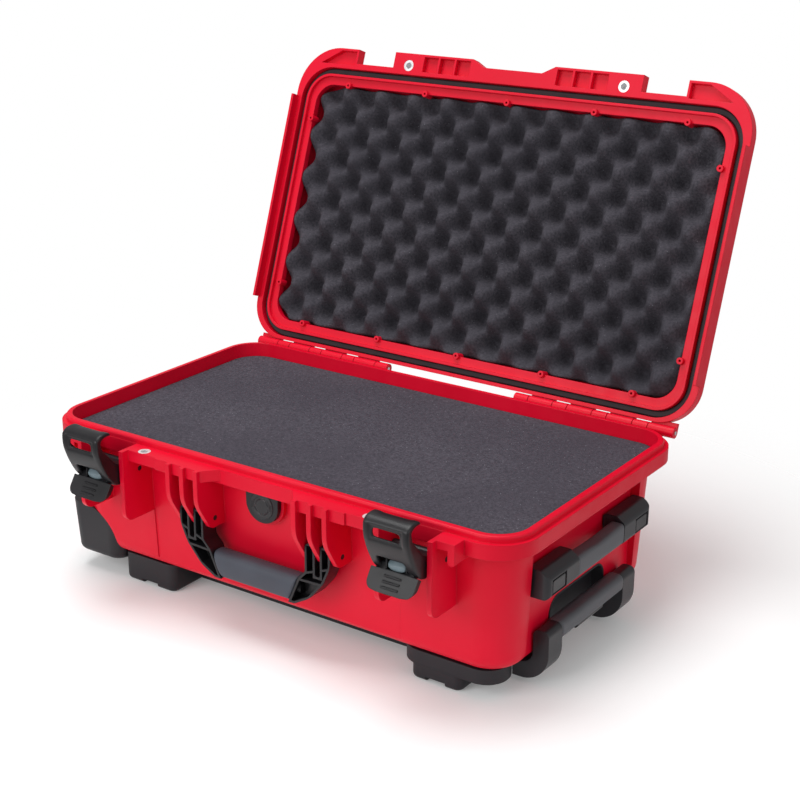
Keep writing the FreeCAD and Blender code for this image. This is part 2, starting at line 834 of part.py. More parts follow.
# Pressure valve: a tongue-shaped body on a raised seat, with a slotted round cap.
def valve():
    half = S.valve_width / 2
    seat_front = -S.tub_half_width - S.tub_flare - S.valve_seat
    outline = [(-half, flange_low), (-half, S.valve_low), (half, S.valve_low), (half, flange_low)]
    rounds = [(1, half - S.gap), (2, half - S.gap)]
    body = prism("valve_tongue", "XZ", outline, (-S.valve_front, seat_front), rounds)
    middle = (Size.of(0), S.valve_cap_z)
    seat = (-S.valve_front, -S.valve_front + S.wall / 2)
    socket = rod("valve_socket", "Y", S.valve_cap_radius, seat, middle)
    node("valve_body", cut("valve_body", body, [socket]))
    cap = rod("valve_disc", "Y", S.valve_cap_radius, seat, middle)
    ring = rod("valve_ring_outer", "Y", S.valve_cap_radius - S.wall / 2, seat, middle)
    core = rod("valve_ring_inner", "Y", S.valve_cap_radius - S.wall, seat, middle)
    groove = cut("valve_groove", ring, [core])
    shallow = block("valve_groove_depth", (-half, half), (-S.valve_front, -S.valve_front + S.wall / 6),
                    (S.valve_low, flange_low))
    node("valve_cap", cut("valve_cap", cap, [common("valve_groove_cut", [groove, shallow])]))


# Steel pins and rods that carry the latches, handles and lid.
def pins():
    latch, handle, hinge, side_pins = [], [], [], []
    for name, sign in ends:
        latch.append(rod(name + "_latch_pin", "X", S.latch_pin_radius,
                         side(sign, rib_near, rib_far + S.rib_thick), (-S.lever_pivot_y, S.lever_pivot_z)))
        reach = S.ear_pitch + S.ear_thick / 2
        handle.append(rod(name + "_handle_pin", "X", S.handle_pin_radius,
                          side(sign, S.ear_centre - reach, S.ear_centre + reach),
                          (-S.handle_pivot_y, S.handle_pivot_z)))
        hinge_end = S.hinge_start + KNUCKLES * S.knuckle_period
        hinge.append(rod(name + "_hinge_pin", "X", S.hinge_pin_radius,
                         side(sign, S.hinge_start, hinge_end), (S.hinge_y, S.hinge_z)))
        inner = S.side_half_width - S.side_pin_reach
        side_pins.append(rod(name + "_side_pin", "Y", S.side_pin_radius,
                             side(sign, inner, S.panel_half_width + S.wall - S.gap),
                             (S.side_pivot_x, S.side_pivot_z)))
    group("latch_pins", latch)
    group("front_handle_pins", handle)
    group("hinge_pins", hinge)
    group("side_handle_pins", side_pins)


TRAY_BAYS = 4
rail_near = S.pull_tube_y - S.rail_width / 2
rail_far = S.pull_tube_y + S.rail_width / 2


# Black tray under the tub: a ribbed plate on two feet and two rails that hold the pull tubes.
def under_tray():
    ground = Size.of(0)
    plate_z = (S.tray_low, S.floor_height)
    tray_y = (-S.tray_half_width, S.tray_half_width)
    end_y = (-S.end_half_width, S.end_half_width)
    foot_y = (-S.foot_half_width, S.foot_half_width)
    left_x = (-S.tray_left, -S.foot_left_end)
    right_x = (S.foot_right_start, S.foot_right_end)
    solids = [plate("tray_plate", (-S.tray_left, S.tray_right), tray_y, plate_z, S.tray_corner)]
    solids.append(plate("tray_end", (S.end_right, S.tray_right), end_y, plate_z, S.tray_corner))
    for name, sign in ends:
        corner_y = side(sign, S.corner_near, S.end_half_width)
        solids.append(plate(name + "_tray_corner", (S.end_right, S.corner_right), corner_y, plate_z, S.corner_round))
    for name, span in (("left", left_x), ("right", right_x)):
        foot_z = (ground, S.floor_height)
        solids.append(plate(name + "_foot", span, foot_y, foot_z, S.foot_corner, None, S.foot_round))
    for name, sign in ends:
        rail_y = side(sign, rail_near, rail_far)
        rail_x = (left_x[0] + S.wall, right_x[1] - S.wall)
        solids.append(block(name + "_rail", rail_x, rail_y, (ground, S.tray_low + S.wall)))
    tools = []
    for name, sign in ends:
        channel_y = side(sign, S.pull_tube_y - S.guide_width / 2, S.pull_tube_y + S.guide_width / 2)
        channel_z = (tube_z - S.guide_height / 2, tube_z + S.guide_height / 2)
        tools.append(block(name + "_channel", (-S.guide_start, S.pull_outer), channel_y, channel_z))
        for foot, span in (("left", left_x), ("right", right_x)):
            middle = (span[0] + span[1]) / 2
            notch_x = (middle - S.foot_notch_width / 2, middle + S.foot_notch_width / 2)
            notch_y = side(sign, S.foot_half_width - S.foot_notch_depth, S.foot_half_width)
            notch_z = (ground, S.foot_notch_height)
            tools.append(block("%s_%s_notch" % (foot, name), notch_x, notch_y, notch_z))
    for index, spot in enumerate(screw_places()):
        hole_z = (ground, S.floor_height)
        tools.append(rod("tray_screw_hole_%d" % index, "Z", S.screw_radius, hole_z, spot))
        well_z = (ground, S.tray_low + S.screw_head_height)
        tools.append(rod("tray_screw_well_%d" % index, "Z", S.screw_head_radius + S.gap, well_z, spot))
    tools += tray_pockets()
    node("under_tray", cut("under_tray", fuse("tray_solid", solids), tools))
    screws = []
    for index, spot in enumerate(screw_places()):
        head_z = (S.tray_low, S.tray_low + S.screw_head_height)
        head = rod("screw_head_%d" % index, "Z", S.screw_head_radius, head_z, spot)
        shank_z = (S.tray_low, S.floor_height + S.wall - S.gap)
        shank = rod("screw_shank_%d" % index, "Z", S.screw_radius, shank_z, spot)
        screws.append(fuse("tray_screw_%d" % index, [head, shank]))
    group("tray_screws", screws)


def tray_pockets():
    """Open pockets in the underside, in three rows, kept clear of the screw bosses."""
    rows = {"middle": (-rail_near + S.tray_rib, rail_near - S.tray_rib)}
    for name, sign in ends:
        rows[name] = side(sign, rail_far + S.tray_rib, S.tray_half_width - S.tray_rib)
    bay = (S.foot_left_end + S.end_right) / TRAY_BAYS
    pocket_z = (S.tray_low, S.floor_height - S.tray_skin)
    pockets = []
    for row, span in rows.items():
        for index in range(TRAY_BAYS):
            start = -S.foot_left_end + index * bay + S.tray_rib
            pocket_x = (start, start + bay - 2 * S.tray_rib)
            pocket = block("%s_pocket_%d" % (row, index), pocket_x, span, pocket_z)
            bosses = []
            for name, sign in ends:
                if name == row:
                    boss_at = (Size.of(0), sign * S.screw_y)
                    boss_name = "%s_boss_%d" % (row, index)
                    bosses.append(rod(boss_name, "Z", 2 * S.screw_head_radius, pocket_z, boss_at))
            pockets.append(cut("%s_room_%d" % (row, index), pocket, bosses) if bosses else pocket)
    return pockets


def tubes(label, inset, start, end):
    """Pair of rectangular tubes, a stated inset inside the guide's outline."""
    pair = []
    half_y = S.guide_width / 2 - inset
    half_z = S.guide_height / 2 - inset
    for name, sign in ends:
        y = (sign * S.pull_tube_y - half_y, sign * S.pull_tube_y + half_y)
        z = (tube_z - half_z, tube_z + half_z)
        outer = block("%s_%s_outer" % (label, name), (start, end), y, z)
        bore_y = (y[0] + S.tube_wall, y[1] - S.tube_wall)
        bore_z = (z[0] + S.tube_wall, z[1] - S.tube_wall)
        bore = block("%s_%s_bore" % (label, name), (start, end), bore_y, bore_z)
        pair.append(cut("%s_%s" % (label, name), outer, [bore]))
    return group(label, pair)


# Black cup behind the pull handle, so that fingers reach round the grip.
def pull_bezel():
    front = S.panel_half_length + S.gap
    back = S.panel_half_length - S.bezel_depth
    half = S.bezel_half_width

    def cup(name, inset, span):
        low = S.floor_height
        outline = [(-half + inset, low), (half - inset, low), (half - inset, S.bezel_top - inset),
                   (-half + inset, S.bezel_top - inset)]
        rounds = [(2, S.bezel_round - inset), (3, S.bezel_round - inset)]
        return prism(name, "YZ", outline, span, rounds)

    outer = cup("bezel_outer", Size.of(0), (back, front))
    inner = cup("bezel_inner", S.bezel_thick, (back + S.bezel_thick, front))
    node("pull_bezel", cut("pull_bezel", outer, [inner]))


# Corner housings with a slot for the wheel, and the wheels on their axles.
def wheels():
    slope = S.tub_flare / (flange_low - S.floor_height)
    half_y = S.tub_half_width - slope * (S.floor_height - S.housing_low)
    top = S.housing_arch_z + S.housing_arch_radius
    axles = []
    for name, sign in (("front", -1), ("rear", 1)):
        envelope = plate(name + "_envelope", (-S.housing_left, -S.tray_left), (-half_y, half_y),
                         (S.housing_low, top), S.housing_corner / 2, lean(slope, 1), S.tub_round / 2)
        corner = corner_prism(name + "_corner", sign, Size.of(0))
        room = S.wheel_width / 2 + S.wheel_room / 2
        centre = (-S.wheel_x, S.wheel_z)
        slot = rod(name + "_slot", "Y", S.wheel_radius + S.wheel_room,
                   side(sign, S.wheel_y - room, S.wheel_y + room), centre)
        axle_span = side(sign, S.housing_inner + S.wall, S.wheel_y + room + 2 * S.wall)
        bore = rod(name + "_axle_bore", "Y", S.axle_radius, axle_span, centre)
        arch = common(name + "_arch", [envelope, corner])
        node("wheel_housing_" + name, cut("wheel_housing_" + name, arch, [slot, bore]))
        axles.append(rod(name + "_axle", "Y", S.axle_radius, axle_span, centre))
        wide = side(sign, S.wheel_y - S.wheel_width / 2, S.wheel_y + S.wheel_width / 2)
        inset = S.wall / 2
        narrow = (wide[0] + inset, wide[1] - inset)
        core = rod(name + "_hub_core", "Y", S.hub_radius, narrow, centre)
        hub_bore = rod(name + "_hub_bore", "Y", S.axle_radius + S.fit, narrow, centre)
        dish_span = side(sign, S.wheel_y + 2 * S.wall, S.wheel_y + S.wheel_width / 2)
        dish = rod(name + "_hub_dish", "Y", S.hub_radius - S.wall, dish_span, centre)
        boss = rod(name + "_hub_boss", "Y", S.axle_radius + S.wall, narrow, centre)
        dished = cut(name + "_dished", core, [dish])
        node("wheel_hub_" + name, cut("wheel_hub_" + name, fuse(name + "_hub", [dished, boss]), [hub_bore]))
        tread = rod(name + "_tread", "Y", S.wheel_radius, wide, centre)
        outer_edge = float(S.wheel_radius)
        rounded = soften(name + "_tread_round", tread, S.wall,
                         lambda edge: abs(radius_of(edge) - outer_edge) < TOUCH)
        inside = rod(name + "_tyre_bore", "Y", S.hub_radius, wide, centre)
        node("wheel_tyre_" + name, cut("wheel_tyre_" + name, rounded, [inside]))
    group("wheel_axles", axles)


def radius_of(edge):
    return getattr(edge.Curve, "Radius", 0.0)


def ring(name, half_x, half_y, corner, width, z):
    """Band of a stated width along a rounded rectangle."""
    half = width / 2
    bands = []
    for part, grow in (("outer", half), ("inner", -half)):
        band_x = (-half_x - grow, half_x + grow)
        band_y = (-half_y - grow, half_y + grow)
        bands.append(plate("%s_%s" % (name, part), band_x, band_y, z, corner + grow))
    return cut(name, bands[0], bands[1:])


# Moulded lid: a rim with a seal groove, front pads and keepers, side skirts and a dome.
lid_low = flange_top + S.gap
rim_top = lid_low + S.rim_height
groove_width = S.lip_thick + 2 * S.groove_room
gasket_low = S.lip_top + S.gap
gasket_top = gasket_low + S.gasket_height
BOSS_STEPS = 2
PAD_POCKETS = 3


def lid_bosses(name, radius, z):
    """Bosses along the lid's mouth: a row on each long side and a pair on each end."""
    steps = range(-BOSS_STEPS, BOSS_STEPS + 1)
    places = [(step * S.boss_pitch, sign * S.rim_inner_half_width) for step in steps for sign in both]
    places += [(end * S.rim_inner_half_length, sign * S.boss_end_y) for end in both for sign in both]
    return [rod("%s_%d" % (name, index), "Z", radius, z, spot) for index, spot in enumerate(places)]


def lid_front(name, sign, rim_z):
    """Front edge of one half: a pad by the handle, the latch keeper and the round corner lobe."""
    back = -S.lip_half_width
    near, far = S.scoop_half_width, rib_near + S.rib_thick
    pad = [
        (near, back),
        (near, -S.scoop_edge),
        (near + S.scoop_slope, -S.front_edge),
        (far, -S.front_edge),
        (far, back),
    ]
    pieces = [prism(name + "_lid_pad", "XY", [(sign * x, y) for x, y in pad], rim_z)]
    lobe_back = -S.lobe_edge + S.rim_corner + S.wall
    lobe = [
        (rib_far, lobe_back),
        (rib_far, -S.lobe_edge),
        (S.rim_half_length, -S.lobe_edge),
        (S.rim_half_length, lobe_back),
    ]
    pieces.append(prism(name + "_lobe", "XY", [(sign * x, y) for x, y in lobe], rim_z, [(2, S.rim_corner)]))
    keeper_x = span_of(sign * S.latch_centre, S.claw_slot_width)
    keeper_z = (lid_low, lid_low + S.keeper_height)
    pieces.append(block(name + "_keeper", keeper_x, (-S.keeper_edge, back), keeper_z))
    return pieces


def lid_front_pockets(name, sign):
    """Hollows under one half of the front edge: three in the pad and one in the lobe."""
    pocket_z = (lid_low, lid_low + S.pocket_depth)
    pockets = []
    for index in range(PAD_POCKETS):
        start = S.scoop_half_width + S.scoop_slope + S.pocket_wall + index * (S.pocket_width + S.pocket_wall)
        pocket_x = side(sign, start, start + S.pocket_width)
        pocket_y = (-S.front_edge + S.pocket_wall, -S.pocket_edge)
        pockets.append(block("%s_pad_pocket_%d" % (name, index), pocket_x, pocket_y, pocket_z))
    lobe_front = -S.lobe_edge + S.pocket_wall
    lobe = [
        (rib_far + S.pocket_wall, -S.pocket_edge),
        (rib_far + S.pocket_wall, lobe_front),
        (S.rim_half_length - S.rim_corner, lobe_front),
        (S.rim_half_length - S.rim_corner / 2, -S.pocket_edge),
    ]
    pockets.append(prism(name + "_lobe_pocket", "XY", [(sign * x, y) for x, y in lobe], pocket_z))
    return pockets


def lid_shell():
    rim_x = (-S.rim_half_length, S.rim_half_length)
    rim_y = (-S.keeper_edge, S.flange_half_width)
    rim_z = (lid_low, rim_top)
    solids = [plate("lid_rim", rim_x, rim_y, rim_z, S.flange_corner)]
    scoop_x = (-S.scoop_half_width, S.scoop_half_width)
    solids.append(block("lid_scoop", scoop_x, (-S.scoop_edge, -S.lip_half_width), rim_z))
    for name, sign in ends:
        solids += lid_front(name, sign, rim_z)
        skirt_x = side(sign, S.rim_half_length - S.skirt_thick, S.rim_half_length)
        skirt_z = (lid_low - S.skirt_drop, rim_top)
        solids.append(block(name + "_skirt", skirt_x, (-S.skirt_front, S.skirt_rear), skirt_z))
        for index in range(KNUCKLES):
            start = S.hinge_start + index * S.knuckle_period + S.base_knuckle + S.knuckle_side_gap
            length = S.knuckle_period - S.base_knuckle - 2 * S.knuckle_side_gap
            solids += knuckle("%s_lid_knuckle_%d" % (name, index), side(sign, start, start + length), 1)
    dome_x = (-S.dome_half_length, S.dome_half_length)
    dome_y = (-S.dome_half_width, S.dome_half_width)
    dome_z = (rim_top - S.wall, S.lid_top)
    solids.append(plate("lid_dome", dome_x, dome_y, dome_z, S.dome_corner, -S.dome_lean, None, S.dome_round))
    outer = fuse("lid_outer", solids)
    mouth_x = (-S.rim_inner_half_length, S.rim_inner_half_length)
    mouth_y = (-S.rim_inner_half_width, S.rim_inner_half_width)
    mouth = plate("lid_mouth", mouth_x, mouth_y, (lid_low - S.wall, rim_top), S.mouth_corner)
    ledge_x, ledge_y = S.lip_half_length - S.ledge_inset, S.lip_half_width - S.ledge_inset
    ledge_z = (lid_low - S.wall, lid_low + S.ledge_depth)
    ledge_corner = S.lip_corner - S.ledge_inset
    ledge = plate("lid_ledge", (-ledge_x, ledge_x), (-ledge_y, ledge_y), ledge_z, ledge_corner)
    hollow_x, hollow_y = S.dome_half_length - 2 * S.wall, S.dome_half_width - 2 * S.wall
    hollow_corner = S.dome_corner - 2 * S.wall
    hollow = plate("lid_hollow", (-hollow_x, hollow_x), (-hollow_y, hollow_y),
                   (rim_top, S.lid_top - S.wall), hollow_corner, -S.dome_lean)
    groove = ring("lid_groove", S.lip_half_length, S.lip_half_width, S.lip_corner, groove_width,
                  (lid_low - S.wall, gasket_top))
    hollowed = cut("lid_hollowed", outer, [mouth, ledge, hollow, groove])
    bossed = fuse("lid_bossed", [hollowed] + lid_bosses("lid_boss", S.boss_radius, rim_z))
    tools = lid_bosses("lid_boss_hole", S.boss_bore, (lid_low, rim_top - S.wall))
    for name, sign in ends:
        tools += lid_front_pockets(name, sign)
        eye_at = (sign * S.eyelet_x, -S.eyelet_y)
        tools.append(rod(name + "_lid_eye_hole", "Z", S.eyelet_radius, rim_z, eye_at))
        hinge_span = side(sign, S.hinge_start, S.hinge_start + KNUCKLES * S.knuckle_period)
        bore = S.hinge_pin_radius + S.fit
        tools.append(rod(name + "_lid_hinge_bore", "X", bore, hinge_span, hinge_line))
    swing(node("lid_shell", cut("lid_shell", bossed, tools)))


def swing(thing):
    """Turn a lid piece from its closed place to the open stop."""
    axis_point = V(0, float(S.hinge_y), float(S.hinge_z))
    thing.Placement = FreeCAD.Placement(V(), FreeCAD.Rotation(V(-1, 0, 0), float(S.lid_open)), axis_point)


def lid_gasket():
    gasket = ring("lid_gasket", S.lip_half_length, S.lip_half_width, S.lip_corner, groove_width,
                  (gasket_low, gasket_top))
    swing(node("lid_gasket", gasket))


# Egg-crate foam in the lid: crests and hollows from a product of two cosines.
def lid_foam():
    loose = S.foam_clearance
    half_x = S.rim_inner_half_length - loose
    half_y = S.rim_inner_half_width - loose
    crest = lid_low + S.crate_crest_drop
    room_x = S.dome_half_length - 2 * S.wall - half_x - loose
    room_y = S.dome_half_width - 2 * S.wall - half_y - loose
    top = S.lid_top - S.wall - loose
    shoulder = rim_top + min(room_x, room_y, key=float) / math.tan(math.radians(float(S.dome_lean)))
    corner = S.dome_corner - 2 * S.wall - loose
    low = plate("lid_foam_low", (-half_x, half_x), (-half_y, half_y), (crest, shoulder), corner)
    high = plate("lid_foam_high", (-half_x, half_x), (-half_y, half_y), (shoulder, top), corner, -S.dome_lean)
    block_foam = fuse("lid_foam_block", [low, high])
    steps = 6
    reach_x = float(half_x) + float(S.crate_pitch_x) / 4
    reach_y = float(half_y) + float(S.crate_pitch_y) / 4
    count_x = math.ceil(2 * reach_x / float(S.crate_pitch_x) * steps)
    count_y = math.ceil(2 * reach_y / float(S.crate_pitch_y) * steps)
    rows = []
    for i in range(count_x + 1):
        x = -reach_x + 2 * reach_x * i / count_x
        wave_x = math.cos(2 * math.pi * x / float(S.crate_pitch_x))
        row = []
        for j in range(count_y + 1):
            y = -reach_y + 2 * reach_y * j / count_y
            wave_y = math.cos(2 * math.pi * y / float(S.crate_pitch_y))
            row.append(V(x, y, float(crest) + float(S.crate_depth) * (1 - wave_x * wave_y) / 2))
        rows.append(row)
    surface = Part.BSplineSurface()
    surface.interpolate(rows)
    below = doc.addObject("Part::Feature", "lid_foam_below")
    below.Shape = surface.toShape().extrude(V(0, 0, -2 * float(S.crate_depth)))
    bosses = lid_bosses("lid_foam_boss", S.boss_radius + loose, (lid_low, rim_top))
    swing(node("lid_foam", cut("lid_foam", block_foam, [below] + bosses)))


# Carry handle on the front: two hollow forked arms on one bar, with a soft grip round it.
def front_handle():
    near = S.ear_centre - S.ear_pitch + S.ear_thick / 2 + S.gap
    far = S.ear_centre + S.ear_pitch - S.ear_thick / 2 - S.gap
    top = S.handle_pivot_z + S.handle_eye
    low = S.handle_low
    deep = (-S.handle_front, -S.handle_back)
    slot_half = S.ear_thick / 2 + S.gap
    middle = (-(S.handle_front + S.handle_back) / 2, (S.handle_low + S.grip_top) / 2)
    shoulder = (far, S.handle_shoulder)
    elbow = (far - S.handle_elbow_inset, S.handle_elbow)
    heel = (far - S.handle_heel_inset, S.handle_heel)
    toe = (far - S.handle_toe_inset, low)
    tip = (S.handle_tip, low)
    throat = (near - S.handle_throat_inset, S.handle_throat)
    fork = (near, S.handle_fork_low)
    reach = [(near, top), (far, top), shoulder, elbow, heel, toe, tip, throat, fork]
    rounds = [(0, S.handle_round), (1, S.handle_round), (8, S.handle_round)]
    rounds += [(index, S.handle_sweep) for index in (2, 3, 4)] + [(5, S.handle_round)]
    struts = [(shoulder, fork), (elbow, throat)]
    solids = []
    tools = []
    for name, sign in ends:
        outline = [(sign * x, z) for x, z in reach]
        solids.append(prism(name + "_arm", "XZ", outline, deep, rounds))
        shallow = (-S.handle_front, -S.handle_front + S.handle_pocket)
        turned = outline if sign < 0 else outline[::-1]
        pocket = inset_prism(name + "_arm_pocket", "XZ", turned, S.handle_web, shallow)
        wide = span_of(sign * S.ear_centre, 2 * (slot_half + S.handle_web))
        kept = [block(name + "_fork_wall", wide, deep, (S.handle_slot_low - S.handle_web, top))]
        for index, (outer, inner) in enumerate(struts):
            strut = [(outer[0], outer[1]), (inner[0], inner[1]),
                     (inner[0], inner[1] - S.handle_web), (outer[0], outer[1] - S.handle_web)]
            strut = [(sign * x, z) for x, z in strut]
            kept.append(prism("%s_strut_%d" % (name, index), "XZ", strut, deep))
        tools.append(cut(name + "_arm_room", pocket, kept))
        slot = side(sign, S.ear_centre - slot_half, S.ear_centre + slot_half)
        floor = [(slot[0], top), (slot[0], S.handle_slot_low), (slot[1], S.handle_slot_low), (slot[1], top)]
        slot_round = slot_half - S.gap
        tools.append(prism(name + "_fork_slot", "XZ", floor, deep, [(1, slot_round), (2, slot_round)]))
        tools.append(rod(name + "_arm_bore", "X", S.handle_pin_radius + S.fit, side(sign, near, far),
                         (-S.handle_pivot_y, S.handle_pivot_z)))
    arms = cut("handle_arms", fuse("handle_solid", solids), tools)
    bar_half = S.grip_half_length + S.grip_flare
    bar = rod("handle_bar", "X", S.grip_core, (-bar_half, bar_half), middle)
    node("front_handle_frame", fuse("front_handle_frame", [arms, bar]))
    front, back = -S.grip_front, -S.grip_back
    section = [(front, low), (back, low), (back, S.grip_top), (front, S.grip_top)]
    wide_x = (-bar_half, bar_half)
    sleeve = prism("handle_sleeve", "YZ", section, wide_x, [(index, S.grip_round) for index in range(4)])
    slant = [(-S.grip_half_length, low), (S.grip_half_length, low),
             (bar_half, S.grip_top), (-bar_half, S.grip_top)]
    slanted = common("handle_slanted", [sleeve, prism("handle_slant", "XZ", slant, (front, back))])
    bore = rod("handle_sleeve_bore", "X", S.grip_core, wide_x, middle)
    node("front_handle_grip", cut("front_handle_grip", slanted, [bore]))


def inset_prism(name, plane, points, inset, span):
    """Outline drawn inside another by a stated wall, carried over a span."""
    sketch = doc.addObject("Sketcher::SketchObject", name + "_outline")
    sketch.Placement = FreeCAD.Placement(V(), FACING[plane])
    offset = {"XY": (0, 0, span[0]), "XZ": (0, span[1], 0), "YZ": (span[0], 0, 0)}
    place(sketch, *offset[plane])
    draw(sketch, points)
    inner = doc.addObject("Part::Offset2D", name + "_inset")
    inner.Source = sketch
    bind(inner, "Value", -inset)
    inner.Join = "Intersection"
    solid = doc.addObject("Part::Extrusion", name)
    solid.Base = inner
    solid.DirMode = "Normal"
    solid.Solid = True
    bind(solid, "LengthFwd", span[1] - span[0])
    return solid


# Carry handle on the right end: two end blocks on pins, joined by a bar with a soft grip.
def side_handle():
    inner, outer, low, top = S.side_inner, S.side_outer, S.side_low, S.side_top
    start = S.side_half_width - S.side_block
    grip_x = (outer - S.side_grip_thick, outer)
    grip_z = (S.side_grip_low, S.side_grip_top)
    bar_at = ((grip_x[0] + grip_x[1]) / 2, (grip_z[0] + grip_z[1]) / 2)
    bar_half = start + S.side_block / 2
    solids = [rod("side_bar", "Y", S.side_core, (-bar_half, bar_half), bar_at)]
    tools = []
    caps = []
    for name, sign in ends:
        crown = outer - S.side_slope
        section = [(inner, low), (outer, low), (outer, S.side_brow), (crown, top), (inner, top)]
        rounds = [(0, S.side_round), (1, S.side_round), (2, S.side_round), (3, S.side_round)]
        rounds.append((4, S.side_pivot_x - inner))
        wedge = prism(name + "_side_wedge", "XZ", section, side(sign, start, S.side_half_width), rounds)
        far = sign * S.side_half_width
        plan = [(inner, sign * start), (outer, sign * start), (outer, far), (inner, far)]
        shaped = prism(name + "_side_plan", "XY", plan, (low, top), [(2, S.side_end_round)])
        solids.append(common(name + "_side_block", [wedge, shaped]))
        bore_y = side(sign, S.side_half_width - S.side_pin_reach - S.gap, S.side_half_width)
        pivot = (S.side_pivot_x, S.side_pivot_z)
        tools.append(rod(name + "_side_bore", "Y", S.side_pin_radius + S.fit, bore_y, pivot))
        cap_y = span_of(sign * (S.side_half_width - S.side_cap_inset), S.side_cap_length)
        cap_z = span_of((low + S.side_brow) / 2, S.side_cap_height)
        cap_x = (outer - S.side_cap_thick, outer)
        caps.append(block(name + "_cap", cap_x, cap_y, cap_z))
        seat_y = (cap_y[0] - S.side_cap_gap, cap_y[1] + S.side_cap_gap)
        seat_z = (cap_z[0] - S.side_cap_gap, cap_z[1] + S.side_cap_gap)
        tools.append(block(name + "_cap_seat", cap_x, seat_y, seat_z))
    node("side_handle_frame", cut("side_handle_frame", fuse("side_solid", solids), tools))
    group("side_handle_caps", caps)
    grip_y = (-start, start)
    section = [(grip_x[0], grip_z[0]), (grip_x[1], grip_z[0]), (grip_x[1], grip_z[1]), (grip_x[0], grip_z[1])]
    sleeve = prism("side_sleeve", "XZ", section, grip_y, [(index, S.side_grip_round) for index in range(4)])
    bore = rod("side_sleeve_bore", "Y", S.side_core, grip_y, bar_at)
    node("side_handle_grip", cut("side_handle_grip", sleeve, [bore]))


# Pull handle: two nested pairs of tubes, curved end caps, a cored grip and a squeeze bar.
def pull_handle():
    nest = S.tube_wall + S.tube_gap
    cap_start = S.pull_cap_start
    tubes("pull_mid_tubes", nest, -S.mid_start, S.mid_end)
    tubes("pull_inner_tubes", 2 * nest, -S.inner_start, cap_start + S.pull_tube_bite)
    inner_x = S.pull_outer - S.pull_thick
    low, elbow = S.pull_clear, S.pull_clear + S.pull_thick
    grip_low = S.pull_top - S.pull_thick
    core_at = (S.pull_outer - S.pull_thick / 2, S.pull_top - S.pull_thick / 2)
    core_half = S.pull_half_gap + S.pull_core_bite
    core_span = (-core_half, core_half)
    caps = []
    for name, sign in ends:
        outline = [(cap_start, low), (S.pull_outer, low), (S.pull_outer, S.pull_top), (inner_x, S.pull_top),
                   (inner_x, elbow), (cap_start, elbow)]
        rounds = [(1, S.pull_bend), (2, S.pull_round), (3, S.pull_round), (4, S.pull_bend - S.pull_thick)]
        cap_y = side(sign, S.pull_half_gap, S.pull_tube_y + S.guide_width / 2)
        bent = prism(name + "_bent_cap", "XZ", outline, cap_y, rounds)
        half_y = S.guide_width / 2 - 2 * nest
        half_z = S.guide_height / 2 - 2 * nest
        socket = block(name + "_cap_socket", (cap_start, cap_start + S.pull_tube_bite),
                       (sign * S.pull_tube_y - half_y, sign * S.pull_tube_y + half_y),
                       (tube_z - half_z, tube_z + half_z))
        bore = rod(name + "_cap_bore", "Y", S.pull_core_radius, core_span, core_at)
        caps.append(cut(name + "_end_cap", bent, [socket, bore]))
    group("pull_end_caps", caps)
    node("pull_core", rod("pull_core", "Y", S.pull_core_radius, core_span, core_at))
    grip_y = (-S.pull_half_gap, S.pull_half_gap)
    outer_x = S.pull_outer
    section = [(inner_x, grip_low), (outer_x, grip_low), (outer_x, S.pull_top), (inner_x, S.pull_top)]
    sleeve = prism("pull_sleeve", "XZ", section, grip_y, [(index, S.pull_round) for index in range(4)])
    bar_x = (core_at[0] - S.release_thick / 2, core_at[0] + S.release_thick / 2)
    bar_y = (-S.release_half_length, S.release_half_length)
    room_x = (bar_x[0] - S.gap, bar_x[1] + S.gap)
    room_y = (bar_y[0] - S.gap, bar_y[1] + S.gap)
    room = block("release_room", room_x, room_y, (grip_low, S.release_top + S.release_travel + S.gap))
    bore = rod("pull_sleeve_bore", "Y", S.pull_core_radius, grip_y, core_at)
    node("pull_grip", cut("pull_grip", sleeve, [bore, room]))
    low_z, high_z = S.release_low, S.release_top
    low_edge = [(bar_x[0], low_z), (bar_x[1], low_z), (bar_x[1], high_z), (bar_x[0], high_z)]
    node("pull_release", prism("release_bar", "XZ", low_edge, bar_y, [(0, S.wall), (1, S.wall)]))


TAB_RIDGES = 3


def near_claw(out, up):
    """Point in the side view, measured outwards and upwards from the claw's pivot."""
    return (-S.claw_pivot_y - out, S.claw_pivot_z + up)


# Draw latch: a lever on a pin between the ribs, and a claw on the lever that hooks the lid.
def latch(name, sign):
    middle = sign * S.latch_centre
    claw(name, middle)
    lever(name, middle)


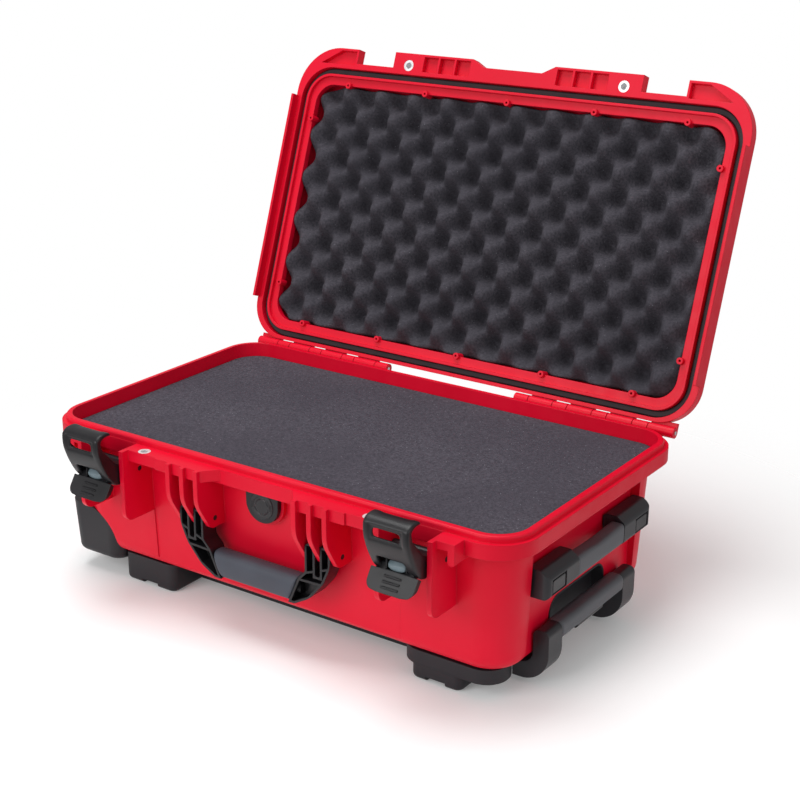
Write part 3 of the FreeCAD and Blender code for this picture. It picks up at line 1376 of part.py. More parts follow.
def claw(name, middle):
    """Hooked plate with two cheeks, a slot and a notch, on its own cross pin."""
    claw_x = span_of(middle, S.claw_width)
    claw_pivot = near_claw(0, 0)
    plate_t = S.claw_plate
    brow = (S.claw_brow_out, S.claw_brow_up)
    belly = (S.claw_belly_out, S.claw_belly_up)
    knee = (S.claw_knee_out, S.claw_knee_up)
    foot = (S.claw_foot_out, -S.claw_foot_drop)
    front = [brow, belly, knee, foot]
    outer = [(S.claw_tip_out, S.claw_tip_up), (S.claw_crown_out, S.claw_crown_up)] + front
    inner = [(out - plate_t, up + plate_t / 4) for out, up in reversed(front)]
    inner.append((S.claw_crown_out - plate_t, S.claw_crown_up - plate_t))
    inner.append((S.claw_tip_out - plate_t / 4, S.claw_tip_up - S.claw_tip_drop))
    rounds = [(1, S.claw_crown_round)] + [(index, S.claw_bend) for index in (2, 3, 4)]
    shield = prism(name + "_claw_shield", "YZ", [near_claw(*spot) for spot in outer + inner], claw_x, rounds)
    web = [(S.claw_crown_out - S.wall, S.claw_crown_up - S.wall)]
    web += [(out - S.gap, up) for out, up in front]
    web += [(-S.claw_eye / 2, S.claw_eye / 2), (S.cheek_mid_out, S.cheek_mid_up),
            (S.cheek_top_out, S.claw_crown_up - S.wall)]
    parts = [shield]
    for place_name, start in (("near", claw_x[0]), ("far", claw_x[1] - S.cheek_thick)):
        cheek_x = (start, start + S.cheek_thick)
        label = "%s_%s_cheek" % (name, place_name)
        parts.append(prism(label, "YZ", [near_claw(*spot) for spot in web], cheek_x))
        parts.append(rod(label + "_eye", "X", S.claw_eye, cheek_x, claw_pivot))
    front_y = (-S.claw_pivot_y - S.claw_brow_out, -S.claw_pivot_y)
    slot_z = (S.claw_pivot_z + S.claw_slot_low, S.claw_pivot_z + S.claw_slot_top)
    slot = block(name + "_claw_slot", span_of(middle, S.claw_slot_width), front_y, slot_z)
    recess_x = span_of(middle, S.claw_slot_width + 2 * S.claw_recess_rim)
    recess_y = (front_y[0], front_y[0] + S.claw_recess)
    recess_z = (slot_z[0] - S.claw_recess_rim, slot_z[1] + S.claw_recess_rim)
    recess = block(name + "_claw_recess", recess_x, recess_y, recess_z)
    notch_z = (S.claw_pivot_z - S.claw_eye, S.claw_pivot_z + S.claw_notch_top)
    notch = block(name + "_claw_notch", span_of(middle, S.claw_notch_width), front_y, notch_z)
    bore = rod(name + "_claw_bore", "X", S.claw_pin_radius + S.fit, claw_x, claw_pivot)
    label = "latch_claw_" + name
    node(label, cut(label, fuse(name + "_claw_solid", parts), [slot, recess, notch, bore]))
    pin_label = "latch_claw_pin_" + name
    node(pin_label, rod(pin_label, "X", S.claw_pin_radius, claw_x, claw_pivot))


def lever(name, middle):
    """Lever between the ribs with a finger tab, and the release button in its case."""
    claw_x = span_of(middle, S.claw_width)
    lever_x = span_of(middle, S.lever_width)
    claw_pivot = near_claw(0, 0)
    lever_pivot = (-S.lever_pivot_y, S.lever_pivot_z)
    behind = S.lever_pivot_y - S.claw_pivot_y
    nose = S.lever_nose
    arm = [(behind, nose), (0, nose), (0, -nose), (behind, -S.lever_arm_low)]
    start = (S.tab_start_out, -S.tab_start_drop)
    end = (S.tab_end_out, -S.tab_end_drop)
    neck = [(0, -S.wall), (S.wall, -S.wall), start, (start[0] - S.tab_thick, start[1] - S.wall), (0, -nose)]
    barrel_x = span_of(middle, S.latch_bay - 2 * S.knuckle_side_gap)
    solids = [rod(name + "_barrel", "X", S.lever_barrel, barrel_x, lever_pivot)]
    solids.append(rod(name + "_lever_nose", "X", nose, lever_x, claw_pivot))
    solids.append(prism(name + "_lever_arm", "YZ", [near_claw(*spot) for spot in arm], lever_x))
    solids.append(prism(name + "_lever_neck", "YZ", [near_claw(*spot) for spot in neck], lever_x))
    solids.append(finger_tab(name, middle, start, end))
    for index in range(1, TAB_RIDGES + 1):
        share = index / (TAB_RIDGES + 1)
        ridge = near_claw(start[0] + (end[0] - start[0]) * share, start[1] + (end[1] - start[1]) * share)
        ridge_x = span_of(middle, S.tab_ridge_width)
        solids.append(rod("%s_ridge_%d" % (name, index), "X", S.tab_ridge, ridge_x, ridge))
    button_x = span_of(middle, S.button_width)
    button_z = (S.claw_pivot_z - S.button_low, S.claw_pivot_z + S.button_top)
    button_y = (-S.claw_pivot_y - S.button_front, -S.claw_pivot_y - S.button_back)
    room_back = S.button_back - S.button_travel - S.gap
    wall_front = S.claw_foot_out - S.button_wall
    case_x = (button_x[0] - S.gap - S.button_wall, button_x[1] + S.gap + S.button_wall)
    case_z = (button_z[0] - S.gap - S.button_wall, button_z[1] + S.gap + S.button_wall)
    case_y = (-S.claw_pivot_y - wall_front, -S.claw_pivot_y)
    solids.append(block(name + "_button_case", case_x, case_y, case_z))
    room = block(name + "_button_room", (button_x[0] - S.gap, button_x[1] + S.gap),
                 (-S.claw_pivot_y - S.button_front, -S.claw_pivot_y - room_back),
                 (button_z[0] - S.gap, button_z[1] + S.gap))
    bore_x = span_of(middle, S.latch_bay)
    lever_bore = rod(name + "_barrel_bore", "X", S.latch_pin_radius + S.fit, bore_x, lever_pivot)
    nose_bore = rod(name + "_nose_bore", "X", S.claw_pin_radius, claw_x, claw_pivot)
    label = "latch_lever_" + name
    node(label, cut(label, fuse(name + "_lever_solid", solids), [room, lever_bore, nose_bore]))
    label = "latch_button_" + name
    node(label, block(label, button_x, button_y, button_z))


def finger_tab(name, middle, start, end):
    """Slanted tab with round lower corners and a bowed lower edge."""
    tab = [start, end]
    tab.append((end[0] - S.tab_thick, end[1] - S.wall / 2))
    tab.append((start[0] - S.tab_thick, start[1] - S.wall))
    slab = prism(name + "_tab_slab", "YZ", [near_claw(*spot) for spot in tab], span_of(middle, S.tab_width))
    top = S.claw_pivot_z - S.tab_start_drop
    low = S.claw_pivot_z - S.tab_end_drop - S.wall / 2
    half = S.tab_width / 2
    shape = [
        (middle - half, top),
        (middle - half, low + S.tab_bow),
        (middle, low),
        (middle + half, low + S.tab_bow),
        (middle + half, top),
    ]
    span = (-S.claw_pivot_y - S.tab_end_out, -S.claw_pivot_y)
    trim = prism(name + "_tab_shape", "XZ", shape, span, [(1, S.tab_corner), (3, S.tab_corner)])
    return common(name + "_lever_tab", [slab, trim])


tube_z = S.pull_clear + S.pull_thick / 2
base_shell()
base_foam()
eyelets("base_eyelets", (flange_top - S.pad_height, flange_top))
valve()
pins()
under_tray()
tubes("guide_tubes", Size.of(0), -S.guide_start, S.guide_end)
pull_bezel()
wheels()
lid_shell()
lid_gasket()
swing(eyelets("lid_eyelets", (lid_low, rim_top)))
lid_foam()
front_handle()
side_handle()
pull_handle()
for end_name, end_sign in ends:
    latch(end_name, end_sign)

doc.recompute()
failed = [thing.Name for thing in doc.Objects if "Invalid" in thing.State or "Error" in thing.State]
if failed:
    raise RuntimeError("not built: " + ", ".join(failed))
os.makedirs("parts", exist_ok=True)
for thing in nodes:
    if thing.Shape.isNull() or not thing.Shape.isValid():
        raise RuntimeError("bad shape: " + thing.Label)
    thing.Shape.exportStep("parts/%s.step" % thing.Label)
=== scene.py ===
import math

import bmesh
import bpy
import numpy as np
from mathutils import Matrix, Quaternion, Vector


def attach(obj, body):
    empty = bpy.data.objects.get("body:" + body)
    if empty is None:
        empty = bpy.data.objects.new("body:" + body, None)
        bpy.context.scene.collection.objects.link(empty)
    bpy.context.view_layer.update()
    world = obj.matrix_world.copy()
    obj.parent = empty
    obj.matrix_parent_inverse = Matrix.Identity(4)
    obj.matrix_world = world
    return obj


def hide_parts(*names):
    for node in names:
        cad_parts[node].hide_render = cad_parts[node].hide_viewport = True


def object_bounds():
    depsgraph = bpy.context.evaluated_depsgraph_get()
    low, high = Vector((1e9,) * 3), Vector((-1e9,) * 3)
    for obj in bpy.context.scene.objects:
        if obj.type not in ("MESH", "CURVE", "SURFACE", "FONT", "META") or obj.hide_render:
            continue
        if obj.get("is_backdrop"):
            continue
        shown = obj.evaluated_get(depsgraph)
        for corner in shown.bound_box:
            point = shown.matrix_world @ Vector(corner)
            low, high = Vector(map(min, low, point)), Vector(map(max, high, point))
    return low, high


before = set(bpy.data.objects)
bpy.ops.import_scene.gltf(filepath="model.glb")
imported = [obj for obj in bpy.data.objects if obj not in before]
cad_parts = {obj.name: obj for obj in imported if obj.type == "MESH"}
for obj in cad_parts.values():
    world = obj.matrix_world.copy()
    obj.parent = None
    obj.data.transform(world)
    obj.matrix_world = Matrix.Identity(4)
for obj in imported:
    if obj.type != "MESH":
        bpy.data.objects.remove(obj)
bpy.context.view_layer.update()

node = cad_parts


# Base tub and lid: two thick mouldings in red polypropylene, straight from the tool.
# Their skin has a fine satin grain, and every edge leaves the mould with a small round.
class Wire:
    """One socket of a material's node tree. add() places a node behind it, and a sum of two wires
    is a Math node."""

    def __init__(self, tree, socket=None):
        self.tree = tree
        self.socket = socket

    def add(self, kind, settings=(), sockets=(), out=0):
        """Places a node, with its settings and what its sockets hold, and gives the wire from it."""
        made = self.tree.nodes.new("ShaderNode" + kind)
        for key, value in dict(settings).items():
            setattr(made, key, value)
        for key, value in dict(sockets).items():
            if isinstance(value, Wire):
                self.tree.links.new(value.socket, made.inputs[key])
            else:
                made.inputs[key].default_value = value
        return Wire(self.tree, made.outputs[out])

    def __add__(self, other):
        return self.add("Math", {"operation": "ADD"}, {0: self, 1: other})

    def grain(self, scale, detail=2.0, rough=0.5, stretch=(1.0, 1.0, 1.0)):
        """Soft noise of about 1/scale metres, drawn out along an axis by stretch."""
        at = self.add("TexCoord", out=3)
        at = self.add("Mapping", {}, {"Vector": at, "Scale": stretch})
        settings = {"Vector": at, "Scale": scale, "Detail": detail, "Roughness": rough}
        return self.add("TexNoise", {}, settings)

    def cells(self, scale):
        """Distance to the nearest of scattered points, about 1/scale metres apart."""
        at = self.add("TexCoord", out=3)
        return self.add("TexVoronoi", {"feature": "F1"}, {"Vector": at, "Scale": scale})

    def span(self, low, high, to_low=0.0, to_high=1.0):
        """This value's stretch from low to high, carried to another range and held at its ends."""
        ends = {"Value": self, "From Min": low, "From Max": high, "To Min": to_low, "To Max": to_high}
        return self.add("MapRange", {"clamp": True}, ends)

    def blend(self, first, second):
        """Colour between two, by this value."""
        return self.add("Mix", {"data_type": "RGBA"}, {0: self, 6: first, 7: second}, out=2)


def tint(red, green, blue):
    """A colour as the eye reads it on a screen, turned into light: the sRGB curve, in 0 to 255."""
    level = np.array([red, green, blue]) / 255.0
    light = np.where(level <= 0.04045, level / 12.92, ((level + 0.055) / 1.055) ** 2.4)
    return (*light.tolist(), 1.0)


def finish(name, **fixed):
    """An empty material with one Principled shader; fixed values go straight to its sockets."""
    made = bpy.data.materials.new(name)
    made.use_nodes = True
    shader = made.node_tree.nodes["Principled BSDF"]
    for key, value in fixed.items():
        shader.inputs[key.replace("_", " ")].default_value = value
    return made, Wire(made.node_tree), shader


def feed(wire, shader, **links):
    """Links wires to the shader's sockets by name."""
    for key, value in links.items():
        wire.tree.links.new(value.socket, shader.inputs[key.replace("_", " ")])


def relief(wire, height, depth, under=None):
    """Normal of a surface raised by height times depth in metres, on top of another normal."""
    sockets = {"Height": height, "Strength": 1.0, "Distance": depth}
    if under is not None:
        sockets["Normal"] = under
    return wire.add("Bump", {}, sockets)


def round_edges(wire, radius):
    """Normal of the same surface with its sharp edges rounded off."""
    return wire.add("Bevel", {"samples": 4}, {"Radius": radius})


def dress(material, *names):
    """Gives a frame node's slots this material."""
    for name in names:
        for slot in node[name].material_slots:
            slot.material = material


shell_red, wire, shader = finish("moulded_red", IOR=1.48, Specular_IOR_Level=0.24)
patch = wire.grain(9.0, 3.0)
pebble = wire.grain(1500.0, 2.0)
haze = wire.grain(60.0, 4.0)
tone = patch.span(0.3, 0.7).blend(tint(214, 0, 38), tint(225, 2, 44))
rounded = round_edges(wire, 0.0011)
feed(wire, shader, Base_Color=tone, Roughness=haze.span(0.3, 0.7, 0.36, 0.47),
     Normal=relief(wire, pebble, 0.00004, rounded))
dress(shell_red, "base_shell", "lid_shell")

# Under tray, wheel housings, wheel hubs and the cup behind the pull handle: black nylon with glass.
# The mouldings have a coarse spark-eroded grain, and screws hold the tray under the tub.
black_nylon, wire, shader = finish("grained_black", IOR=1.5, Specular_IOR_Level=0.45)
speck = wire.grain(1100.0, 2.0)
cloud = wire.grain(14.0, 3.0)
tone = cloud.span(0.3, 0.7).blend(tint(22, 20, 25), tint(29, 26, 32))
feed(wire, shader, Base_Color=tone, Roughness=cloud.span(0.3, 0.7, 0.48, 0.6),
     Normal=relief(wire, speck, 0.00008, round_edges(wire, 0.001)))
dress(black_nylon, "under_tray", "wheel_housing_front", "wheel_housing_rear", "pull_bezel")
dress(black_nylon, "wheel_hub_front", "wheel_hub_rear")

# Screws, hinge rods, axles and the pull handle's core: turned from bright steel.
# Fine lathe lines run round them, so the gloss breaks up slightly.
bright_steel, wire, shader = finish("turned_steel", Metallic=1.0)
lines = wire.grain(900.0, 2.0, 0.5, (1.0, 1.0, 6.0))
smear = wire.grain(80.0, 3.0)
tone = smear.span(0.3, 0.7).blend(tint(196, 196, 198), tint(222, 222, 224))
feed(wire, shader, Base_Color=tone, Roughness=smear.span(0.3, 0.7, 0.22, 0.38),
     Normal=relief(wire, lines, 0.00002, round_edges(wire, 0.0004)))
dress(bright_steel, "tray_screws", "wheel_axles", "hinge_pins", "pull_core")

# Pins of the latches and handles: steel rods with a black oxide skin, driven flush into the ribs.
# They look almost black where their ends show.
black_steel, wire, shader = finish("blackened_steel", Metallic=0.6)
smear = wire.grain(120.0, 3.0)
tone = smear.span(0.3, 0.7).blend(tint(38, 34, 36), tint(58, 52, 54))
feed(wire, shader, Base_Color=tone, Roughness=smear.span(0.3, 0.7, 0.4, 0.55),
     Normal=relief(wire, wire.grain(900.0, 2.0), 0.00003, round_edges(wire, 0.0003)))
dress(black_steel, "latch_pins", "front_handle_pins", "side_handle_pins")
dress(black_steel, "latch_claw_pin_left", "latch_claw_pin_right")

# Padlock bushes: short steel tubes with a bright zinc coat, flanged over the red pads.
# The coat is almost white, with a soft gloss.
zinc_coat, wire, shader = finish("zinc_coat", Metallic=0.45)
bloom = wire.grain(220.0, 3.0)
tone = bloom.span(0.3, 0.7).blend(tint(226, 226, 228), tint(246, 246, 248))
feed(wire, shader, Base_Color=tone, Roughness=bloom.span(0.3, 0.7, 0.24, 0.36),
     Normal=relief(wire, bloom, 0.00002, round_edges(wire, 0.0005)))
dress(zinc_coat, "base_eyelets", "lid_eyelets")

# Nested tubes of the pull handle: drawn aluminium, clear anodised, with lines along their length.
# The outer pair is clamped in the tray, and the two inner pairs slide in it.
tube_skin, wire, shader = finish("drawn_aluminium", Metallic=1.0)
draws = wire.grain(700.0, 3.0, 0.6, (0.02, 1.0, 1.0))
tone = draws.span(0.3, 0.7).blend(tint(176, 178, 182), tint(204, 206, 208))
feed(wire, shader, Base_Color=tone, Roughness=draws.span(0.3, 0.7, 0.26, 0.42),
     Normal=relief(wire, draws, 0.00003, round_edges(wire, 0.0006)))
dress(tube_skin, "guide_tubes", "pull_mid_tubes", "pull_inner_tubes")

# Tyres: soft black rubber moulded round each hub, with two grooves and round shoulders.
# Wear dulls the rubber, and a little dust lies on it in faint patches.
MM = 0.001


def skin(name, grid, around=False, across=False, kept=None):
    """A mesh over a grid of points (rows, columns, 3) in millimetres. around joins the last row to
    the first, across the last column to the first; points that meet become one, and kept marks the
    cells that aren't holes."""
    rows, columns = grid.shape[:2]
    order = np.arange(rows * columns).reshape(rows, columns)
    if around:
        order = np.vstack([order, order[:1]])
    if across:
        order = np.hstack([order, order[:, :1]])
    quads = np.stack([order[:-1, :-1], order[1:, :-1], order[1:, 1:], order[:-1, 1:]], -1)
    quads = quads.reshape(-1, 4) if kept is None else quads[kept]
    return solid(name, grid.reshape(-1, 3), quads)


def solid(name, points, faces):
    """A piece from points in millimetres and their faces: doubles merged, empty faces dropped,
    faces turned outwards and shaded smooth."""
    mesh = bpy.data.meshes.new(name)
    mesh.from_pydata((points * MM).tolist(), [], faces.tolist())
    work = bmesh.new()
    work.from_mesh(mesh)
    bmesh.ops.remove_doubles(work, verts=work.verts, dist=1e-6)
    bmesh.ops.dissolve_degenerate(work, edges=work.edges, dist=1e-7)
    bmesh.ops.recalc_face_normals(work, faces=work.faces)
    work.to_mesh(mesh)
    work.free()
    mesh.polygons.foreach_set("use_smooth", np.ones(len(mesh.polygons), bool))
    made = bpy.data.objects.new(name, mesh)
    bpy.context.scene.collection.objects.link(made)
    return made


def seat(piece, body, slot, material, *stood_for):
    """Gives a new piece its finish and its body, and hides the frame nodes it stands for; slot is not
    used.
    """
    piece.data.materials.append(material)
    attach(piece, body)
    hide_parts(*stood_for)


tyre_rubber, wire, shader = finish("tyre_rubber", Specular_IOR_Level=0.35)
crumb = wire.grain(1300.0, 3.0)
dust = wire.grain(40.0, 4.0)
tone = dust.span(0.45, 0.75).blend(tint(36, 35, 37), tint(66, 63, 62))
feed(wire, shader, Base_Color=tone, Roughness=dust.span(0.3, 0.7, 0.72, 0.86),
     Normal=relief(wire, crumb, 0.00012))

tyre_radius, tyre_bore, tyre_half_width = 26.0, 17.0, 12.0
tyre_square = 0.45
groove_depth, groove_place, groove_width, tread_from = 0.9, 5.0, 0.8, 0.8
wheel_x, wheel_y, wheel_z = -246.0, 95.0, 36.0


def squared(wave, power):
    """A sine or cosine with flattened crests: its size to a power, with its sign kept."""
    return np.sign(wave) * np.abs(wave) ** power


def tyre_grid(centre_y):
    """Ring turned about the axle: the radius is that of a flattened oval of width, less two grooves,
    and the inner half of the oval lies on the hub."""
    turn = np.linspace(0, 2 * np.pi, 96, endpoint=False)[:, None]
    oval = np.linspace(0, 2 * np.pi, 64, endpoint=False)[None, :]
    cosine, sine = np.cos(oval), np.sin(oval)
    along = tyre_half_width * squared(sine, tyre_square)
    lift = squared(cosine, tyre_square)
    middle, reach = (tyre_radius + tyre_bore) / 2, (tyre_radius - tyre_bore) / 2
    groove = groove_depth * np.exp(-((np.abs(along) - groove_place) / groove_width) ** 2)
    radius = middle + reach * lift - groove * (lift > tread_from)
    x = wheel_x + radius * np.cos(turn)
    z = wheel_z + radius * np.sin(turn)
    return np.stack([x, centre_y + along + 0 * turn, z], -1)


for end, sign in (("front", -1), ("rear", 1)):
    tyre = skin("tyre_" + end, tyre_grid(sign * wheel_y), around=True, across=True)
    seat(tyre, "wheel_" + end, "tyre", tyre_rubber, "wheel_tyre_" + end)

# Base foam: a block of charcoal open-cell polyurethane under a flat top sheet, on a thin pad.
# It is cut a little large and pushed into the tub, so its top edge rolls over slightly.
foam_skin, wire, shader = finish("open_cell_foam", Specular_IOR_Level=0.15)
pores = wire.cells(950.0)
fluff = wire.grain(420.0, 4.0, 0.65)
shade = wire.grain(7.0, 2.0)
glint = wire.cells(160.0)
low = shade.span(0.3, 0.7).blend(tint(82, 78, 87), tint(97, 93, 102))
tone = fluff.span(0.35, 0.7).blend(tint(62, 59, 67), low)
tone = glint.span(0.05, 0.1, 0.7, 0.0).blend(tone, tint(150, 150, 158))
feed(wire, shader, Base_Color=tone, Roughness=fluff.span(0.3, 0.7, 0.88, 1.0),
     Normal=relief(wire, pores + fluff, 0.0005))


def rim(half_x, half_y, corner, count):
    """Points round a rectangle with quarter-circle corners, at equal steps of its length."""
    quarter = np.linspace(0, np.pi / 2, 24)[None, :] + np.arange(4)[:, None] * np.pi / 2
    middle_x = np.array([1, -1, -1, 1])[:, None] * (half_x - corner)
    middle_y = np.array([1, 1, -1, -1])[:, None] * (half_y - corner)
    x, y = middle_x + corner * np.cos(quarter), middle_y + corner * np.sin(quarter)
    path = np.stack([x, y], -1).reshape(-1, 2)
    path = np.vstack([path, path[:1]])
    run = np.concatenate([[0], np.cumsum(np.hypot(*np.diff(path, axis=0).T))])
    at = np.linspace(0, run[-1], count, endpoint=False)
    return np.stack([np.interp(at, run, path[:, 0]), np.interp(at, run, path[:, 1])], -1)


def slab_grid(edge, shift_x, profile, swell):
    """Closed block: each step of the profile is the edge outline at a share of its size and at a
    height; swell lifts the top in slow waves that fade out at its rim."""
    share, height = np.array(profile).T
    x = share[:, None] * edge[None, :, 0] + shift_x
    y = share[:, None] * edge[None, :, 1]
    long_x, long_y, short_x, short_y, fade = 37.0, 29.0, 17.0, 23.0, 0.05
    wave = np.sin(x / long_x + 0.7) * np.cos(y / long_y) + 0.5 * np.sin(x / short_x - y / short_y)
    top = (height[:, None] > height.max() - 0.01) * np.clip((1 - share[:, None]) / fade, 0, 1)
    return np.stack([x, y, height[:, None] + swell * wave * top], -1)


foam_top, foam_flat, foam_roll = 156.1, 0.982, 1.5
foam_edge = rim(half_x=259.6, half_y=146.3, corner=29.3, count=360)
foam_steps = [(share, foam_top) for share in np.linspace(0, foam_flat, 70)]
for turn in np.linspace(0.2, 1.57, 8):
    drop = foam_roll - foam_roll * math.cos(turn)
    foam_steps.append((foam_flat + (1 - foam_flat) * math.sin(turn), foam_top - drop))
foam_steps += [(1.0, 153.4), (0.92, 153.3), (0.9, 100.0), (0.9, 82.0)]
foam_steps += [(0.82, 81.0), (0.82, 46.0), (0.0, 45.2)]
base_foam = skin("base_foam_block", slab_grid(foam_edge, 0.0, foam_steps, 0.25), across=True)
seat(base_foam, "base", "foam_base", foam_skin, "base_foam")
pad_top, pad_shift_x = 44.9, 10.0
pad_edge = rim(half_x=200.0, half_y=118.0, corner=25.0, count=240)
pad_steps = [(share, pad_top) for share in np.linspace(0, 0.98, 30)]
pad_steps += [(1.0, 43.5), (1.0, 35.0), (0.99, 33.4), (0.0, 33.3)]
base_pad = skin("base_foam_sheet", slab_grid(pad_edge, pad_shift_x, pad_steps, 0.0), across=True)
seat(base_pad, "base", "foam_base", foam_skin, "base_foam_pad")


# Pressure valve: a black tongue on its seat in the front wall, with a slotted round cap.
# Both are plain mouldings, pressed and screwed into the tub.
def satin(name, dark, light):
    """Black nylon between two shades: slow clouds in tone and gloss under a fine skin."""
    made, wire, shader = finish(name, IOR=1.5, Specular_IOR_Level=0.4)
    skin_noise = wire.grain(1400.0, 2.0)
    cloud = wire.grain(22.0, 3.0)
    tone = cloud.span(0.3, 0.7).blend(dark, light)
    feed(wire, shader, Base_Color=tone, Roughness=cloud.span(0.3, 0.7, 0.3, 0.42),
         Normal=relief(wire, skin_noise, 0.00005, round_edges(wire, 0.0009)))
    return made


# The valve tongue, front handle frame, latch levers and claws get a darker copy of the black nylon:
# painted shade.
black_plastic = satin("satin_black_shaded", tint(18, 17, 20), tint(25, 23, 27))
dark_plastic, wire, shader = finish("dark_inlay", IOR=1.5)
cloud = wire.grain(30.0, 3.0)
tone = cloud.span(0.3, 0.7).blend(tint(24, 23, 27), tint(33, 31, 35))
feed(wire, shader, Base_Color=tone, Roughness=cloud.span(0.3, 0.7, 0.3, 0.42),
     Normal=relief(wire, wire.grain(1400.0, 2.0), 0.00004, round_edges(wire, 0.0008)))
dress(black_plastic, "valve_body")
valve_z, valve_face_y, valve_back_y, valve_reach = 135.5, -150.7, -148.5, 13.0
ring_inner, ring_outer = 6.9, 8.3
slot_place, slot_half_width, slot_half_height = 10.6, 1.1, 3.6
dish_inner, dish_outer, dish_slope = 9.2, 12.6, 0.4
groove_sunk, dish_sunk, edge_sunk = 0.62, 0.25, 0.6
step_soft, bridge_steep, bridge_share = 0.12, 4, 0.3


def valve_grid():
    """Disc on the tongue's face, radius by angle: a dished rim, a ring groove broken by four bridges
    and an upright slot on each side, all sunk below the face by smooth steps."""
    share = np.linspace(0, 1, 79)[:, None]
    turn = np.linspace(0, 2 * np.pi, 180, endpoint=False)[None, :]
    radius = valve_reach * share
    x, z = radius * np.cos(turn), radius * np.sin(turn)

    def step(value):
        return 1 / (1 + np.exp(-value / step_soft))

    ring = step(radius - ring_inner) * step(ring_outer - radius)
    ring = ring * step(bridge_steep * (np.abs(np.sin(2 * turn)) - bridge_share))
    slots = step(slot_half_width - np.abs(np.abs(x) - slot_place)) * step(slot_half_height - np.abs(z))
    into_dish = np.clip((radius - dish_inner) / dish_slope, 0, 1)
    dish = dish_sunk * into_dish * np.clip((dish_outer - radius) / dish_slope, 0, 1)
    edge_drop = edge_sunk * np.clip((radius - dish_outer) / dish_slope, 0, 1)
    sunk = groove_sunk * np.maximum(ring, slots) + dish + edge_drop
    face = np.stack([x, valve_face_y + sunk, valve_z + z], -1)
    back = np.stack([x[-1:], valve_back_y + 0 * x[-1:], valve_z + z[-1:]], -1)
    middle = np.stack([0 * x[-1:], valve_back_y + 0 * x[-1:], valve_z + 0 * x[-1:]], -1)
    return np.concatenate([face, back, middle])


valve_cap = skin("valve_cap_disc", valve_grid(), across=True)
seat(valve_cap, "base", "dark_plastic", dark_plastic, "valve_cap")

# Lid gasket: an extruded rubber cord with two sealing ridges, pressed into the lid's groove.
# It runs round the whole lid and meets the base's lip when the lid is shut.
lid_hinge_y, lid_hinge_z, lid_open = 163.9, 165.8, math.radians(-109.7)


def opened(points):
    """Lid points from the shut place to the open one: a turn about the hinge rods."""
    y, z = points[..., 1] - lid_hinge_y, points[..., 2] - lid_hinge_z
    turned_y = y * math.cos(lid_open) - z * math.sin(lid_open) + lid_hinge_y
    turned_z = y * math.sin(lid_open) + z * math.cos(lid_open) + lid_hinge_z
    return np.stack([points[..., 0], turned_y, turned_z], -1)


gasket_rubber, wire, shader = finish("seal_rubber", Specular_IOR_Level=0.4)
bloom = wire.grain(50.0, 3.0)
tone = bloom.span(0.35, 0.7).blend(tint(40, 36, 40), tint(58, 52, 56))
feed(wire, shader, Base_Color=tone, Roughness=bloom.span(0.3, 0.7, 0.6, 0.75),
     Normal=relief(wire, wire.grain(900.0, 2.0), 0.0001))
gasket_half_x, gasket_half_y, gasket_corner = 263.35, 150.1, 33.0
gasket_middle_z, gasket_half_width, gasket_half_height = 172.05, 3.4, 1.55
gasket_square, ridge_height, ridge_waves = 0.6, 0.45, 1.9


def gasket_grid():
    """Cord round the groove's middle line: a flat-backed oval whose free face has two ridges."""
    line = rim(gasket_half_x, gasket_half_y, gasket_corner, 480)
    ahead = np.roll(line, -1, 0) - np.roll(line, 1, 0)
    ahead /= np.hypot(*ahead.T)[:, None]
    outward = np.stack([ahead[:, 1], -ahead[:, 0]], -1)
    turn = np.linspace(0, 2 * np.pi, 28, endpoint=False)
    across = gasket_half_width * squared(np.cos(turn), gasket_square)
    rise = gasket_half_height * squared(np.sin(turn), gasket_square)
    rise = gasket_middle_z + rise + ridge_height * np.cos(across * ridge_waves) * (rise < 0)
    x = line[:, None, 0] + outward[:, None, 0] * across
    y = line[:, None, 1] + outward[:, None, 1] * across
    return np.stack([x, y, rise[None, :] + 0 * x], -1)


gasket = skin("lid_seal", opened(gasket_grid()), around=True, across=True)
seat(gasket, "lid", "gasket_rubber", gasket_rubber, "lid_gasket")

# Lid foam: egg-crate foam, sliced so that rounded pegs stand between hollows, glued into the dome.
# It is the same charcoal foam, painted a little darker all over than the base foam as painted shade.
crate_skin, wire, shader = finish("egg_crate_foam_shaded", Specular_IOR_Level=0.15)
pores = wire.cells(950.0)
fluff = wire.grain(420.0, 4.0, 0.65)
shade = wire.grain(9.0, 2.0)
glint = wire.cells(130.0)
# These tints are darker than the base foam's: painted shade over the whole lid foam.
low = shade.span(0.3, 0.7).blend(tint(74, 72, 79), tint(87, 84, 91))
tone = fluff.span(0.35, 0.7).blend(tint(56, 54, 60), low)
tone = glint.span(0.04, 0.08, 0.5, 0.0).blend(tone, tint(140, 140, 148))
feed(wire, shader, Base_Color=tone, Roughness=fluff.span(0.3, 0.7, 0.9, 1.0),
     Normal=relief(wire, pores + fluff, 0.0006))

crate_pitch_x, crate_pitch_y, crate_depth, crate_crest = 43.5, 48.5, 29.0, 166.9
crate_shift_x, crate_shift_y, crate_ease = 10.3, 19.2, 9.6
crate_half_x, crate_half_y, crate_corner, crate_points = 248.0, 134.0, 25.3, 520
crate_power, crate_roll, crate_roll_from, crate_ease_from, crate_ease_run = 1.25, 1.6, 0.985, 0.84, 0.14
crate_shoulder, crate_back, crate_corner_gain = 188.2, 224.8, 0.4
# The back's rings, in to the dome's crown: millimetres in from the face's rim, and height.
crate_rings = ((0.3, crate_shoulder), (0.5, 188.3), (23.0, 223.6), (24.4, crate_back))


def rolled(share, start, drop):
    """Drop of a face at a share of the way to its rim, rolled over from the start share outwards."""
    return drop * np.clip((share - start) / (1 - start), 0, 1) ** 2


